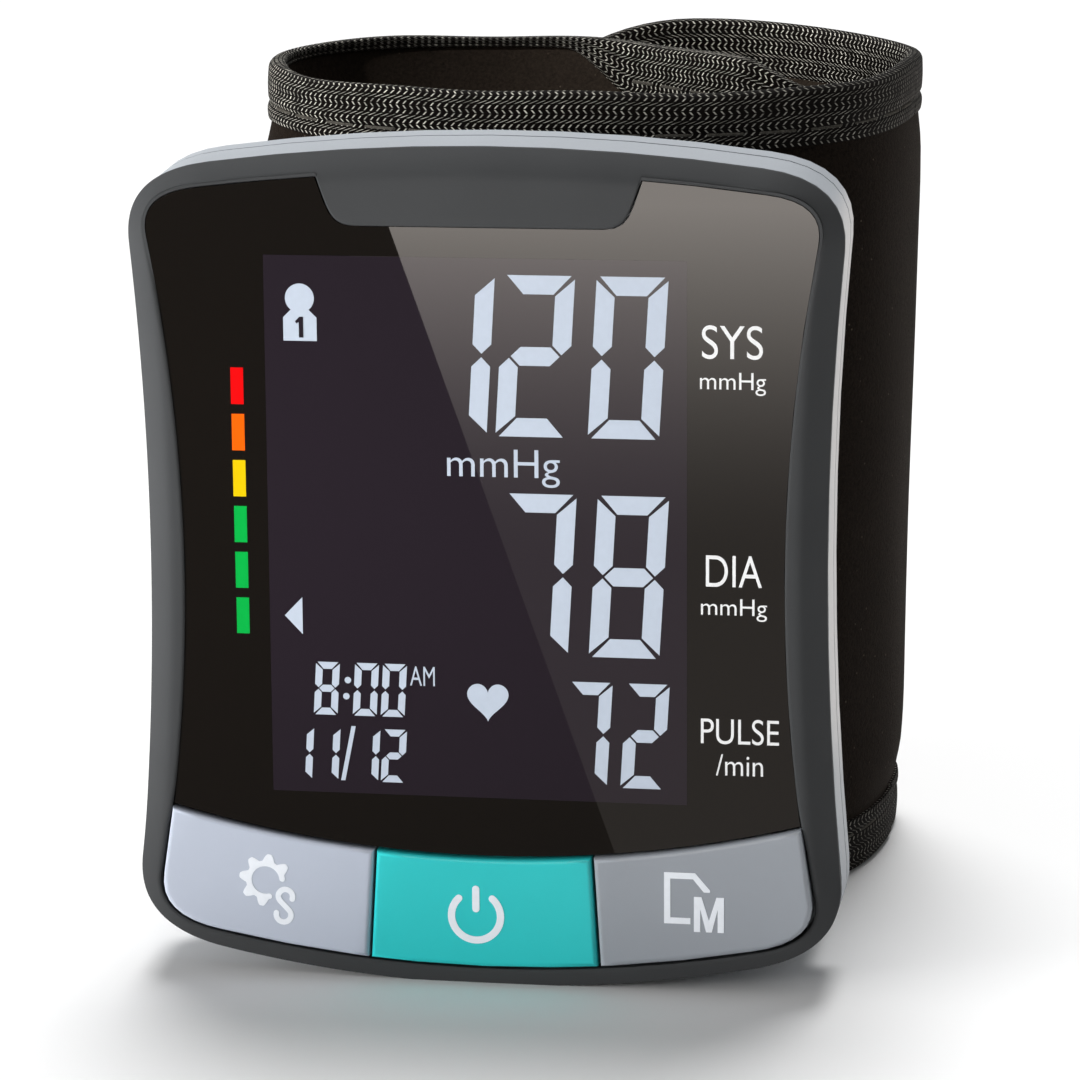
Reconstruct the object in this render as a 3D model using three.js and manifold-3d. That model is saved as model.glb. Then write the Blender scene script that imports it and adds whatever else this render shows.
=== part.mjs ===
// Wrist blood pressure monitor with its cuff closed, leaned back on the lower edge of its case and the
// cuff's rim.
// Millimetres, +Z up. The pieces are drawn in the face's own frame: x to the right of the face, y behind the
// front of the display window, z up from the lowest point of the face. The last lines lean the whole.

import * as THREE from 'three';
import { mergeVertices } from 'three/addons/utils/BufferGeometryUtils.js';
import Module from 'manifold-3d';

const wasm = await Module();
wasm.setup();

// Stance and clearances
const lean = THREE.MathUtils.degToRad(3.3);
const baseCut = 0.45; // height of the flat cut across the lowest point of the case
const gap = 0.3; // between seated pieces
const runningGap = 0.25; // round a button
const buttonTravel = 0.8;

// Outline of the face, drawn in at the waist
const faceHeight = 73.6;
const topHalfWidth = 30.95;
const waistDraw = 1.25; // how far the sides come in at the waist
const footFlare = 0.1; // how much wider the face is at its foot
const topCrown = 1.6;
const bottomCrown = 2.35;
const topCorner = 7;
const bottomCorner = 8;
const topFlare = 0.09; // rise of the top wall for each millimetre of depth

// Bezel: a rounded ring with a bare tab at the top
const bezelRise = 0.3; // stands proud of the window
const bezelRound = 2.4;
const bezelDrop = 2.0;
const rimTop = 1.7;
const rimTopSide = 1.75;
const rimWaist = 3.2;
const rimBottomSide = 2.1;
const rimBottom = 1.6;
const openingTopCorner = 4.6;
const openingBottomCorner = 5.4;
const tabHalfWidth = 14;
const tabTaper = 3.6; // from the tab's shoulder in to its straight lower edge
const tabDrop = 6.4; // from the top of the face to the tab's lower edge

// Window and display
const windowThickness = 2.2;
const displayWidth = 40;
const displayHeight = 51;
const displayThickness = 2.8;
const displayX = -0.48;
const displayRise = 3.8; // above the middle of the face
const backlightThickness = 1.5;
const connectorWidth = 2.2;

// Buttons
const buttonTop = 11.6; // height of the buttons' upper edge at the middle
const buttonArc = 104; // radius of that edge
const dividerTop = 9.6; // half width of the middle button at its upper edge
const dividerBottom = 10.2;
const buttonProud = 0.6;
const buttonRound = 0.45;
const stemWidth = 7;
const stemHeight = 3.2;
const sideStemX = 17.5;

// Case
const deckThickness = 1.5;
const bandDepth = 4.5;
const lipDepth = 2.2;
const caseWall = 1.8;
const rearWall = 1.6;
const humpInset = 2;
const humpDepth = 14.5;
const humpRound = 2.4;
const bodyDepth = 20.8; // from the window's front to the bottom of the saddle behind
const postRadius = 2.5;
const wellRadius = 2.9;
const wellBore = 2.2;
const wellFloor = 1.5;
const screwRadius = 1;
const screwHeadRadius = 1.9;
const screwHeadHeight = 1.8;
const screwMargin = 1.5; // between the display and a screw post
const screwDrop = 7.2; // below the top of the face
const screwRise = 8.2;

// Board and what it carries
const boardThickness = 1.2;
const boardMargin = 0.6; // inside the rear case's wall
const switchSize = 5.2;
const plungerRadius = 1.6;
const plungerLength = 1.2;
const chipSize = 9;
const chipHeight = 1.2;
const chipZ = 10.5;
const sensorSize = 7;
const sensorHeight = 7.5;
const sensorZ = 22;
const buzzerRadius = 4.6;
const buzzerHeight = 4;
const buzzerPlay = 1.2; // between the buzzer and the sensor
const buzzerZ = 20;

// Air line
const airRise = 1.2; // above the middle of the face
const sidePlay = 0.5; // between the side walls and what lies against them
const manifoldSize = 7;
const nippleRadius = 1.3;
const nippleLength = 2;
const hoseWall = 0.8;
const portRadius = 1.8;
const valveSize = 7.5;
const valveHeight = 12;
const pumpRadius = 5;
const pumpHeadLength = 12;
const motorLength = 14;

// Cells
const cellRadius = 5.25;
const cellLength = 44.5;
const contactThickness = 0.5;
const contactHeight = 7;
const contactWidth = 4;
const cellDrop = 1; // below the air line
const contactTail = 1.5;
const coverMargin = 2; // longer than the cells
const coverClearance = 0.25;

// Cuff: its wall stands on a line seen from above, and leans a little to the right
const cuffHeight = 74.8;
const rimCore = 0.4; // half the space between the two sheets at an edge
const coverSheet = 0.9;
const stayThickness = 0.8;
const bladderThickness = 1.5;
const bindingHeight = 5.2;
const bindingThickness = 0.7;
const padMargin = 13; // from the cuff's edge to the stay and the bladder
const cuffLeanX = 1.8;
const bendHandle = 0.62; // roundness of the bends
const rightHandle = 0.74;
const rightX = 30.4;
const rightBend = 23.8; // depth of each bend behind the cuff's front
const leftX = -26.2;
const leftBend = 20.8;
const frontX = 3.5;
const backX = -7;
const backBend = 32.5;
const tongueX = 23.5;
const tongueBend = 15.6;
const tongueSlope = 0.22;
const tongueHandle = 14;
const flapHalf = 1.8;
const flapBackX = 10;
const flapBackRise = 12.8; // behind the back of the loop
const flapEndX = -14.5;
const flapEndSlope = 0.2;
const flapHandle = 10;
const flapRoundness = 0.34;
const flapCorner = 24;
const hookThickness = 0.8;
const hookLength = 15;
const hookHeight = 40;
const cuffScrewSpan = 16; // above and below the air port
const cuffStations = 34;
const flapStations = 18;

// Widths and depths that follow from the sizes above
const waistHalfWidth = topHalfWidth - waistDraw;
const bottomHalfWidth = topHalfWidth + footFlare;
const cuffHalf = coverSheet + (stayThickness + bladderThickness + 4 * gap) / 2;
const rimHalf = rimCore + coverSheet + gap + bindingThickness;
const deckFront = windowThickness + gap;
const deckBack = deckFront + deckThickness;
const bandBack = deckFront + bandDepth;
const lipFront = bandBack + gap;
const lipBack = lipFront + lipDepth;
const humpBack = lipBack + humpDepth;
const displayFront = windowThickness + gap;
const displayBack = displayFront + displayThickness;
const backlightFront = displayBack + gap;
const boardFront = backlightFront + backlightThickness + gap;
const boardBack = boardFront + boardThickness;
const partFront = boardBack + gap;
const wellFront = boardBack + 4 * gap;
const baseMid = (deckFront + bandBack) / 2;
const cuffFront = bodyDepth + gap + cuffHalf;
const airY = partFront + manifoldSize / 2 + gap;
const pumpY = partFront + pumpRadius;
const manifoldBack = airY + manifoldSize / 2;
const buttonBack = deckFront - buttonTravel - runningGap;
const stemBack = deckBack - 2 * gap;

// Places that follow from them
const stemZ = (buttonTop + rimBottom) / 2;
const displayZ = faceHeight / 2 + displayRise;
const screwX = displayWidth / 2 + Math.abs(displayX) + screwMargin + postRadius;
const roomHalf = waistHalfWidth - humpInset - rearWall;
const airZ = faceHeight / 2 + airRise;
const cellZ = airZ - cellDrop;
const cellY = lipBack + gap + cellRadius;
const leftCellX = sidePlay + cellRadius - roomHalf;
const rightCellX = leftCellX + 2 * cellRadius + gap;
const pumpX = roomHalf - sidePlay - pumpRadius;
const airX = pumpX - pumpRadius - 2 * nippleLength - gap - manifoldSize / 2;
const buzzerX = airX + sensorSize / 2 + buzzerPlay + buzzerRadius;
const cuffScrewX = (rightCellX + cellRadius + airX - valveSize / 2) / 2;

// Solids
function toSolid(geometry) {
  const bare = geometry.clone();
  bare.deleteAttribute('normal');
  bare.deleteAttribute('uv');
  const welded = mergeVertices(bare, 1e-4);
  const corners = Array.from(welded.index.array);
  const kept = [];
  for (let i = 0; i < corners.length; i += 3) {
    const [a, b, c] = corners.slice(i, i + 3);
    if (a !== b && b !== c && c !== a) kept.push(a, b, c);
  }
  const vertProperties = new Float32Array(welded.attributes.position.array);
  const triVerts = new Uint32Array(kept);
  return new wasm.Manifold(new wasm.Mesh({ numProp: 3, vertProperties, triVerts }));
}

function toGeometry(solid) {
  const mesh = solid.getMesh();
  const geometry = new THREE.BufferGeometry();
  geometry.setAttribute('position', new THREE.BufferAttribute(mesh.vertProperties.slice(), 3));
  geometry.setIndex(new THREE.BufferAttribute(mesh.triVerts.slice(), 1));
  geometry.computeVertexNormals();
  return geometry;
}

function box(x0, x1, y0, y1, z0, z1) {
  const geometry = new THREE.BoxGeometry(x1 - x0, y1 - y0, z1 - z0);
  return toSolid(geometry.translate((x0 + x1) / 2, (y0 + y1) / 2, (z0 + z1) / 2));
}

function rodY(radius, y0, y1, x, z, sides = 16) {
  const geometry = new THREE.CylinderGeometry(radius, radius, y1 - y0, sides);
  return toSolid(geometry.translate(x, (y0 + y1) / 2, z));
}

function rodZ(radius, z0, z1, x, y, sides = 16) {
  const geometry = new THREE.CylinderGeometry(radius, radius, z1 - z0, sides);
  return toSolid(geometry.rotateX(Math.PI / 2).translate(x, y, (z0 + z1) / 2));
}

function rodX(radius, x0, x1, y, z, sides = 16) {
  const geometry = new THREE.CylinderGeometry(radius, radius, x1 - x0, sides);
  return toSolid(geometry.rotateZ(Math.PI / 2).translate((x0 + x1) / 2, y, z));
}

// A flat outline in x and z, carried from y0 back to y1
function plate(shape, y0, y1, bevel = {}) {
  const options = { depth: y1 - y0, bevelEnabled: false, ...bevel };
  return new THREE.ExtrudeGeometry(shape, options).rotateX(Math.PI / 2).translate(0, y1, 0);
}

// The same with rounded edges, whose outermost outline is the shape itself
function roundedPlate(shape, y0, y1, round, drop, segments) {
  const bevel = {
    bevelEnabled: true, bevelSize: round, bevelOffset: -round, bevelThickness: drop, bevelSegments: segments,
  };
  return toSolid(plate(shape, y0 + drop, y1 - drop, bevel));
}

// Outlines
function hourglass(o) {
  const topX = o.halfTop - o.topCorner;
  const topZ = o.top - topCrown;
  const bottomX = o.halfBottom - o.bottomCorner;
  const bottomZ = o.bottom + bottomCrown;
  const sideTop = topZ - o.topCorner;
  const sideBottom = bottomZ + o.bottomCorner;
  const middle = (sideTop + sideBottom) / 2;
  const pull = 2 * o.halfWaist - (o.halfTop + o.halfBottom) / 2;
  const topTangent = topZ - (2 * topCrown / topX) * o.topCorner;
  const bottomTangent = bottomZ + (2 * bottomCrown / bottomX) * o.bottomCorner;
  const outTop = o.halfTop + (o.halfTop - pull) / (sideTop - middle) * (topTangent - sideTop);
  const outBottom = o.halfBottom + (o.halfBottom - pull) / (middle - sideBottom) * (sideBottom - bottomTangent);
  const shape = new THREE.Shape();
  shape.moveTo(-topX, topZ);
  shape.quadraticCurveTo(0, o.top + topCrown, topX, topZ);
  shape.quadraticCurveTo(outTop, topTangent, o.halfTop, sideTop);
  shape.quadraticCurveTo(pull, middle, o.halfBottom, sideBottom);
  shape.quadraticCurveTo(outBottom, bottomTangent, bottomX, bottomZ);
  shape.quadraticCurveTo(0, o.bottom - bottomCrown, -bottomX, bottomZ);
  shape.quadraticCurveTo(-outBottom, bottomTangent, -o.halfBottom, sideBottom);
  shape.quadraticCurveTo(-pull, middle, -o.halfTop, sideTop);
  shape.quadraticCurveTo(-outTop, topTangent, -topX, topZ);
  const points = shape.getPoints(8);
  points.pop();
  return points;
}

// Each point moved square to the outline, which runs clockwise
function inset(points, distance) {
  return points.map((point, i) => {
    const before = points[(i + points.length - 1) % points.length];
    const after = points[(i + 1) % points.length];
    const along = after.clone().sub(before).normalize();
    return new THREE.Vector2(point.x + along.y * distance, point.y - along.x * distance);
  });
}

const faceOutline = hourglass({
  halfTop: topHalfWidth, halfWaist: waistHalfWidth, halfBottom: bottomHalfWidth,
  top: faceHeight, bottom: 0, topCorner, bottomCorner,
});
const openingOutline = hourglass({
  halfTop: topHalfWidth - rimTopSide, halfWaist: waistHalfWidth - rimWaist,
  halfBottom: bottomHalfWidth - rimBottomSide,
  top: faceHeight - rimTop, bottom: rimBottom, topCorner: openingTopCorner, bottomCorner: openingBottomCorner,
});

function prism(points, y0, y1) {
  return toSolid(plate(new THREE.Shape(points), y0, y1));
}

// The case's walls rise a little towards the back, most at the top
function flaredPrism(points, y0, y1) {
  const geometry = plate(new THREE.Shape(points), y0, y1);
  const position = geometry.attributes.position;
  for (let i = 0; i < position.count; i += 1) {
    const height = position.getZ(i);
    const rise = topFlare * (position.getY(i) - deckFront) * height / faceHeight;
    position.setZ(i, height + rise);
  }
  return toSolid(geometry);
}

function tabShape(clearance) {
  const foot = faceHeight - tabDrop - clearance;
  const half = tabHalfWidth + clearance;
  const shoulder = faceHeight - rimTop - gap;
  const shape = new THREE.Shape();
  shape.moveTo(-half, faceHeight);
  shape.lineTo(-half, shoulder);
  const [corner, neck] = [half - tabTaper, half - tabTaper / 3];
  shape.bezierCurveTo(-neck, shoulder - tabDrop / 2, -neck, foot, -corner, foot);
  shape.lineTo(corner, foot);
  shape.bezierCurveTo(neck, foot, neck, shoulder - tabDrop / 2, half, shoulder);
  shape.lineTo(half, faceHeight);
  return new THREE.Shape(shape.getPoints(6));
}

// The floor that the monitor stands on, seen from the leaned frame
function floorHeight(y) {
  return baseCut + Math.tan(lean) * (y - baseMid);
}
const floorSpan = 4 * faceHeight;
const floorBlock = new THREE.BoxGeometry(floorSpan, floorSpan, faceHeight).translate(0, 0, -faceHeight / 2);
const floor = toSolid(floorBlock.rotateX(lean).translate(0, baseMid, baseCut));

// Bezel and window
function makeBezel() {
  const bezelBack = deckFront - gap;
  const face = new THREE.Shape(faceOutline);
  const blank = roundedPlate(face, -bezelRise, bezelBack + 3 * bezelDrop, bezelRound, bezelDrop, 4);
  const far = 2 * faceHeight;
  const front = blank.intersect(box(-far, far, -far, bezelBack, -far, far));
  const opening = prism(openingOutline, -far, far).subtract(toSolid(plate(tabShape(0), -far, far)));
  return front.subtract(opening).subtract(floor);
}

function buttonEdge(x) {
  return buttonTop + x * x / (2 * buttonArc);
}

function makeWindow() {
  const margin = 2 * gap;
  const blank = prism(inset(openingOutline, gap), 0, windowThickness);
  const below = new THREE.Shape();
  const reach = topHalfWidth;
  below.moveTo(-reach, -faceHeight);
  for (let i = 0; i <= 24; i += 1) {
    const x = -reach + 2 * reach * i / 24;
    below.lineTo(x, buttonEdge(x) + runningGap);
  }
  below.lineTo(reach, -faceHeight);
  const lower = toSolid(plate(below, -margin, windowThickness + margin));
  const tab = toSolid(plate(tabShape(gap), -margin, windowThickness + margin));
  return blank.subtract(lower).subtract(tab);
}

// Buttons: three caps that share the foot of the opening
function dividerX(z) {
  return dividerTop + (dividerBottom - dividerTop) * (buttonTop - z) / (buttonTop - rimBottom);
}

// Where the buttons' upper edge meets the right side of an outline, which runs clockwise
function edgeCrossing(outline) {
  const above = outline.map((p) => p.y - buttonEdge(p.x));
  const i = above.findIndex((rise, k) => outline[k].x > 0 && rise > 0 && above[k + 1] <= 0);
  return THREE.MathUtils.lerp(outline[i].x, outline[i + 1].x, above[i] / (above[i] - above[i + 1]));
}

function buttonShape(side) {
  const outline = inset(openingOutline, runningGap);
  const half = runningGap / 2;
  const inner = (z) => dividerX(z) + half;
  const belongs = (p) => {
    if (p.y > buttonEdge(p.x) - half) return false;
    return side === 0 ? Math.abs(p.x) < dividerX(p.y) - half : p.x * side > inner(p.y);
  };
  const lower = outline.filter((p, i) => i > 0 && belongs(p));
  const footX = side === 0 ? dividerBottom - half : dividerBottom + half;
  const flat = bottomHalfWidth - rimBottomSide - openingBottomCorner;
  const footZ = rimBottom + runningGap + bottomCrown * (footX / flat) ** 2;
  const foot = (sign) => new THREE.Vector2(sign * footX, footZ);
  const outerX = edgeCrossing(outline);
  const from = side === 0 ? -dividerTop + half : side > 0 ? inner(buttonTop) : -outerX;
  const to = side === 0 ? dividerTop - half : side > 0 ? outerX : -inner(buttonTop);
  const points = [];
  for (let i = 0; i <= 8; i += 1) {
    const x = from + (to - from) * i / 8;
    points.push(new THREE.Vector2(x, buttonEdge(x)));
  }
  if (side <= 0) points.push(foot(side === 0 ? 1 : -1));
  points.push(...lower);
  if (side >= 0) points.push(foot(side === 0 ? -1 : 1));
  return new THREE.Shape(points);
}

function makeButton(side) {
  const cap = roundedPlate(buttonShape(side), -buttonProud, buttonBack, buttonRound, buttonRound, 3);
  const x = side * sideStemX;
  const [w, h] = [stemWidth / 2, stemHeight / 2];
  return cap.add(box(x - w, x + w, buttonBack - gap, stemBack, stemZ - h, stemZ + h));
}

// Case: a front half with the deck behind the window, and a rear half with the saddle for the cuff
const upperScrewZ = faceHeight - screwDrop;
const screwPlaces = [[-screwX, upperScrewZ], [screwX, upperScrewZ], [-screwX, screwRise], [screwX, screwRise]];
const stemPlaces = [-sideStemX, 0, sideStemX];

function makeFrontCase() {
  let solid = flaredPrism(faceOutline, deckFront, bandBack).subtract(floor);
  solid = solid.subtract(prism(inset(faceOutline, caseWall), deckBack, bandBack + gap));
  const [w, h] = [displayWidth / 2 + gap, displayHeight / 2 + gap];
  const [x, z] = [displayX, displayZ];
  solid = solid.subtract(box(x - w, x + w, 0, bandBack, z - h, z + h));
  for (const stemX of stemPlaces) {
    const [a, b] = [stemWidth / 2 + gap, stemHeight / 2 + gap];
    solid = solid.subtract(box(stemX - a, stemX + a, 0, bandBack, stemZ - b, stemZ + b));
  }
  for (const [px, pz] of screwPlaces) {
    solid = solid.add(rodY(postRadius, deckBack - gap, wellFront - gap, px, pz));
    solid = solid.subtract(rodY(screwRadius + gap, deckBack + gap, wellFront, px, pz, 12));
  }
  return solid;
}

// Line of the cuff's wall seen from above, from the right-hand bend round the front to the inner tongue
function cuffLine() {
  const [rightY, leftY] = [cuffFront + rightBend, cuffFront + leftBend];
  const [backY, tongueY] = [cuffFront + backBend, cuffFront + tongueBend];
  const k = bendHandle;
  const line = new THREE.Path();
  line.moveTo(rightX, rightY);
  const shoulder = frontX + rightHandle * (rightX - frontX);
  line.bezierCurveTo(rightX, rightY - rightHandle * rightBend, shoulder, cuffFront, frontX, cuffFront);
  line.bezierCurveTo(frontX - k * (frontX - leftX), cuffFront, leftX, leftY - k * leftBend, leftX, leftY);
  const rise = k * (backY - leftY);
  line.bezierCurveTo(leftX, leftY + rise, backX - k * (backX - leftX), backY, backX, backY);
  const endX = tongueX - tongueHandle;
  line.bezierCurveTo(backX + tongueHandle, backY, endX, tongueY + tongueSlope * tongueHandle, tongueX, tongueY);
  return line;
}

// Line of the flap, from the hinge at the right-hand bend round the back to its free end
function flapLine() {
  const startX = rightX + cuffHalf - flapHalf;
  const startY = cuffFront + rightBend + gap;
  const backY = cuffFront + backBend + flapBackRise;
  const endY = cuffFront + backBend + cuffHalf + hookThickness + flapHalf + 2 * gap;
  const k = flapRoundness;
  const line = new THREE.Path();
  line.moveTo(startX, startY);
  const side = flapBackX + k * (startX - flapBackX);
  line.bezierCurveTo(startX, startY + k * (backY - startY), side, backY, flapBackX, backY);
  const endX = flapEndX + flapHandle;
  line.bezierCurveTo(flapBackX - flapHandle, backY, endX, endY + flapEndSlope * flapHandle, flapEndX, endY);
  return line;
}

// A point of the cuff's wall: distance along its line, offset to the outside, height above the rim below
function wallPoint(line, along, offset, height, outside = 1) {
  const u = Math.min(Math.max(along / line.getLength(), 0), 1);
  const at = line.getPointAt(u);
  const to = line.getTangentAt(u);
  const x = at.x - outside * to.y * offset;
  const y = at.y + outside * to.x * offset;
  return [x + cuffLeanX * (height / cuffHeight - 0.5), y, floorHeight(y) + height];
}

// A closed wall between an outer and an inner chain of points at each station
function wall(stations) {
  const n = stations[0].outer.length;
  const ring = 2 * n;
  const vertices = stations.flatMap((s) => [...s.outer, ...s.inner.slice().reverse()]).flat();
  const faces = [];
  const quad = (a, b, c, d) => faces.push(a, b, c, a, c, d);
  for (let k = 0; k + 1 < stations.length; k += 1) {
    for (let i = 0; i < ring; i += 1) {
      const j = (i + 1) % ring;
      quad(k * ring + i, k * ring + j, (k + 1) * ring + j, (k + 1) * ring + i);
    }
  }
  const last = (stations.length - 1) * ring;
  for (let i = 0; i + 1 < n; i += 1) {
    quad(i, ring - 1 - i, ring - 2 - i, i + 1);
    quad(last + i, last + i + 1, last + ring - 2 - i, last + ring - 1 - i);
  }
  const geometry = new THREE.BufferGeometry();
  geometry.setAttribute('position', new THREE.Float32BufferAttribute(vertices, 3));
  geometry.setIndex(faces);
  const solid = toSolid(geometry);
  if (solid.volume() > 0) return solid;
  const turned = [];
  for (let i = 0; i < faces.length; i += 3) turned.push(faces[i], faces[i + 2], faces[i + 1]);
  geometry.setIndex(turned);
  return toSolid(geometry);
}

const cuffPath = cuffLine();
const flapPath = flapLine();
const cuffLength = cuffPath.getLength();
const flapLength = flapPath.getLength();

// A layer of the cuff: profiles are lists of [offset, height], carried from one distance to another
function cuffLayer(outer, inner, from = 0, to = cuffLength) {
  const stations = [];
  for (let k = 0; k <= cuffStations; k += 1) {
    const along = from + (to - from) * k / cuffStations;
    const place = ([offset, height]) => wallPoint(cuffPath, along, offset, height);
    stations.push({ outer: outer.map(place), inner: inner.map(place) });
  }
  return wall(stations);
}

// Heights and offsets of a padded sheet whose edges are tucked into the bindings
function paddedProfile(sign, depth) {
  const edge = rimHalf - bindingThickness - gap;
  const tuck = bindingHeight - 2;
  const level = [
    [edge, tuck], [edge, bindingHeight + 1], [cuffHalf, padMargin - 1], [cuffHalf, cuffHeight / 2],
    [cuffHalf, cuffHeight - padMargin + 1], [edge, cuffHeight - bindingHeight - 1], [edge, cuffHeight - tuck],
  ];
  return level.map(([offset, height]) => [sign * (offset - depth), height]);
}

function flatProfile(offset) {
  return [padMargin, cuffHeight / 2, cuffHeight - padMargin].map((height) => [offset, height]);
}

// Folded tape over an edge: direction +1 for the upper edge, -1 for the lower
function bindingProfile(direction, inward) {
  const half = rimHalf - inward;
  const top = direction > 0 ? cuffHeight - inward : inward;
  const foot = direction > 0 ? cuffHeight - bindingHeight : bindingHeight;
  const shoulder = top - direction;
  return [[half, foot], [half, shoulder], [half / 2, top], [-half / 2, top], [-half, shoulder], [-half, foot]];
}

const stayOuter = cuffHalf - coverSheet - gap;
const stayInner = stayOuter - stayThickness;
const bladderOuter = stayInner - gap;
const bladderInner = bladderOuter - bladderThickness;
const stayFrom = cuffLength * 0.08;
const stayTo = cuffLength * 0.6;
const layerFrom = gap;
const cuffScrewPlaces = [airZ + cuffScrewSpan, airZ - cuffScrewSpan];
const deepest = cuffFront + rightBend;
const screwHole = (radius, z) => rodY(radius, boardBack, deepest, cuffScrewX, z, 12);
const portBack = cuffFront - (bladderOuter + bladderInner) / 2;
const portHole = rodY(portRadius + gap, boardBack, portBack + gap, airX, airZ, 16);

function drillCuff(solid, radius) {
  return cuffScrewPlaces.reduce((left, z) => left.subtract(screwHole(radius, z).intersect(frontHalf)), solid);
}
const frontHalf = box(-2 * rightX, 2 * rightX, 0, cuffFront + cuffHalf + gap * 8, 0, 2 * cuffHeight);

// Saddle: the space behind the body that the cuff's front fills
function saddle(clearance) {
  const steps = 28;
  const half = [];
  for (let k = 0; k <= steps; k += 1) {
    const along = stayTo * k / steps;
    const [x, y] = wallPoint(cuffPath, along, cuffHalf + clearance, cuffHeight / 2);
    half.push(new THREE.Vector2(x, y));
  }
  const shape = new THREE.Shape(half);
  const geometry = new THREE.ExtrudeGeometry(shape, { depth: 2 * cuffHeight, bevelEnabled: false });
  geometry.translate(0, 0, -cuffHeight / 2);
  const position = geometry.attributes.position;
  for (let i = 0; i < position.count; i += 1) {
    const height = position.getZ(i) - floorHeight(position.getY(i));
    position.setX(i, position.getX(i) + cuffLeanX * (height / cuffHeight - 0.5));
  }
  return toSolid(geometry);
}

const humpShape = new THREE.Shape(inset(faceOutline, humpInset));
const hump = roundedPlate(humpShape, lipFront - humpRound, humpBack, humpRound, humpRound, 2);

function rearBlank() {
  const lip = flaredPrism(faceOutline, lipFront, lipBack);
  const far = 2 * faceHeight;
  const behind = hump.intersect(box(-far, far, lipFront, far, -far, far));
  let solid = lip.add(behind).subtract(floor).subtract(saddle(gap));
  const inside = new THREE.Shape(inset(faceOutline, humpInset + rearWall));
  const round = humpRound - rearWall;
  const room = roundedPlate(inside, lipFront - 2 * round, humpBack - rearWall, round, round, 1);
  solid = solid.subtract(room.subtract(saddle(gap + rearWall)));
  return solid;
}

function coverBlock(clearance) {
  const half = (cellLength + coverMargin) / 2 - clearance;
  const back = cellY + cellRadius + gap;
  const inside = leftCellX - cellRadius / 2;
  return box(-2 * topHalfWidth, inside, lipBack + clearance, back - clearance, cellZ - half, cellZ + half);
}

const rearShell = rearBlank();

function makeRearCase() {
  let solid = rearShell;
  for (const [x, z] of screwPlaces) {
    const well = rodY(wellRadius, wellFront, humpBack, x, z).intersect(hump);
    solid = solid.subtract(rodY(postRadius + gap, 0, wellFront, x, z));
    solid = solid.add(well.subtract(saddle(gap)));
    solid = solid.subtract(rodY(wellBore, wellFront + wellFloor, 2 * humpBack, x, z));
    solid = solid.subtract(rodY(screwRadius + gap, 0, 2 * humpBack, x, z, 12));
  }
  solid = solid.subtract(portHole).subtract(coverBlock(0));
  return drillCuff(solid, screwRadius + gap);
}

function makeBatteryCover() {
  return rearShell.intersect(coverBlock(coverClearance));
}

// Screws: a head on a shank, pointing forward or back
function makeScrew(x, z, headFront, tip) {
  const headBack = headFront + screwHeadHeight;
  const shank = tip < headFront ? rodY(screwRadius, tip, headFront + gap, x, z, 10)
    : rodY(screwRadius, headBack - gap, tip, x, z, 10);
  return rodY(screwHeadRadius, headFront, headBack, x, z, 14).add(shank);
}

// Inside the body
function makeDisplay() {
  const [w, h] = [displayWidth / 2, displayHeight / 2];
  return box(displayX - w, displayX + w, displayFront, displayBack, displayZ - h, displayZ + h);
}

function makeBacklight() {
  const [w, h] = [displayWidth / 2, displayHeight / 2];
  const low = displayZ - h + connectorWidth + 3 * gap;
  const back = backlightFront + backlightThickness;
  return box(displayX - w, displayX + w, backlightFront, back, low, displayZ + h);
}

function makeConnector() {
  const w = displayWidth / 2 - connectorWidth;
  const low = displayZ - displayHeight / 2 + gap;
  return box(displayX - w, displayX + w, backlightFront, boardFront - gap, low, low + connectorWidth);
}

function makeBoard() {
  const outline = inset(faceOutline, humpInset + rearWall + boardMargin);
  const half = screwX - postRadius - gap;
  const between = box(-half, half, 0, 2 * boardBack, 0, 2 * faceHeight);
  return prism(outline, boardFront, boardBack).intersect(between);
}

function makeSwitch(x) {
  const half = switchSize / 2;
  const top = stemBack + buttonTravel + gap;
  const shoulder = top + plungerLength;
  const body = box(x - half, x + half, shoulder, boardFront - gap, stemZ - half, stemZ + half);
  return body.add(rodY(plungerRadius, top, shoulder + gap, x, stemZ, 14));
}

function makeSensor() {
  const half = sensorSize / 2;
  const top = sensorZ + half;
  const body = box(airX - half, airX + half, partFront, partFront + sensorHeight, sensorZ - half, top);
  return body.add(rodZ(nippleRadius, top - gap, top + nippleLength, airX, airY, 12));
}

const valveLow = airZ + manifoldSize / 2 + 2 * nippleLength + gap;

function makeValve() {
  const half = valveSize / 2;
  const back = partFront + valveSize;
  const body = box(airX - half, airX + half, partFront, back, valveLow, valveLow + valveHeight);
  return body.add(rodZ(nippleRadius, valveLow - nippleLength, valveLow + gap, airX, airY, 12));
}

function makeManifold() {
  const half = manifoldSize / 2;
  const reach = half + nippleLength;
  const drop = airZ - sensorZ - sensorSize / 2 - nippleLength - gap;
  const body = box(airX - half, airX + half, airY - half, manifoldBack, airZ - half, airZ + half);
  const upright = rodZ(nippleRadius, airZ - drop, airZ + reach, airX, airY, 12);
  return body.add(upright).add(rodX(nippleRadius, airX, airX + reach, airY, airZ, 12));
}

function makeHose(along, centre) {
  const inner = nippleRadius + gap;
  const outer = inner + hoseWall;
  const ring = new THREE.Shape().absarc(0, 0, outer, 0, 2 * Math.PI);
  ring.holes.push(new THREE.Path().absarc(0, 0, inner, 0, 2 * Math.PI));
  const depth = 2 * nippleLength - gap;
  const options = { depth, bevelEnabled: false, curveSegments: 6 };
  const geometry = new THREE.ExtrudeGeometry(ring, options).translate(0, 0, -depth / 2);
  if (along === 'x') geometry.rotateY(Math.PI / 2);
  return toSolid(geometry.translate(...centre));
}

function makePort() {
  return rodY(portRadius, manifoldBack + gap, portBack, airX, airZ, 16);
}

const pumpLow = airZ - pumpHeadLength / 2;
const pumpHigh = airZ + pumpHeadLength / 2;

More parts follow.
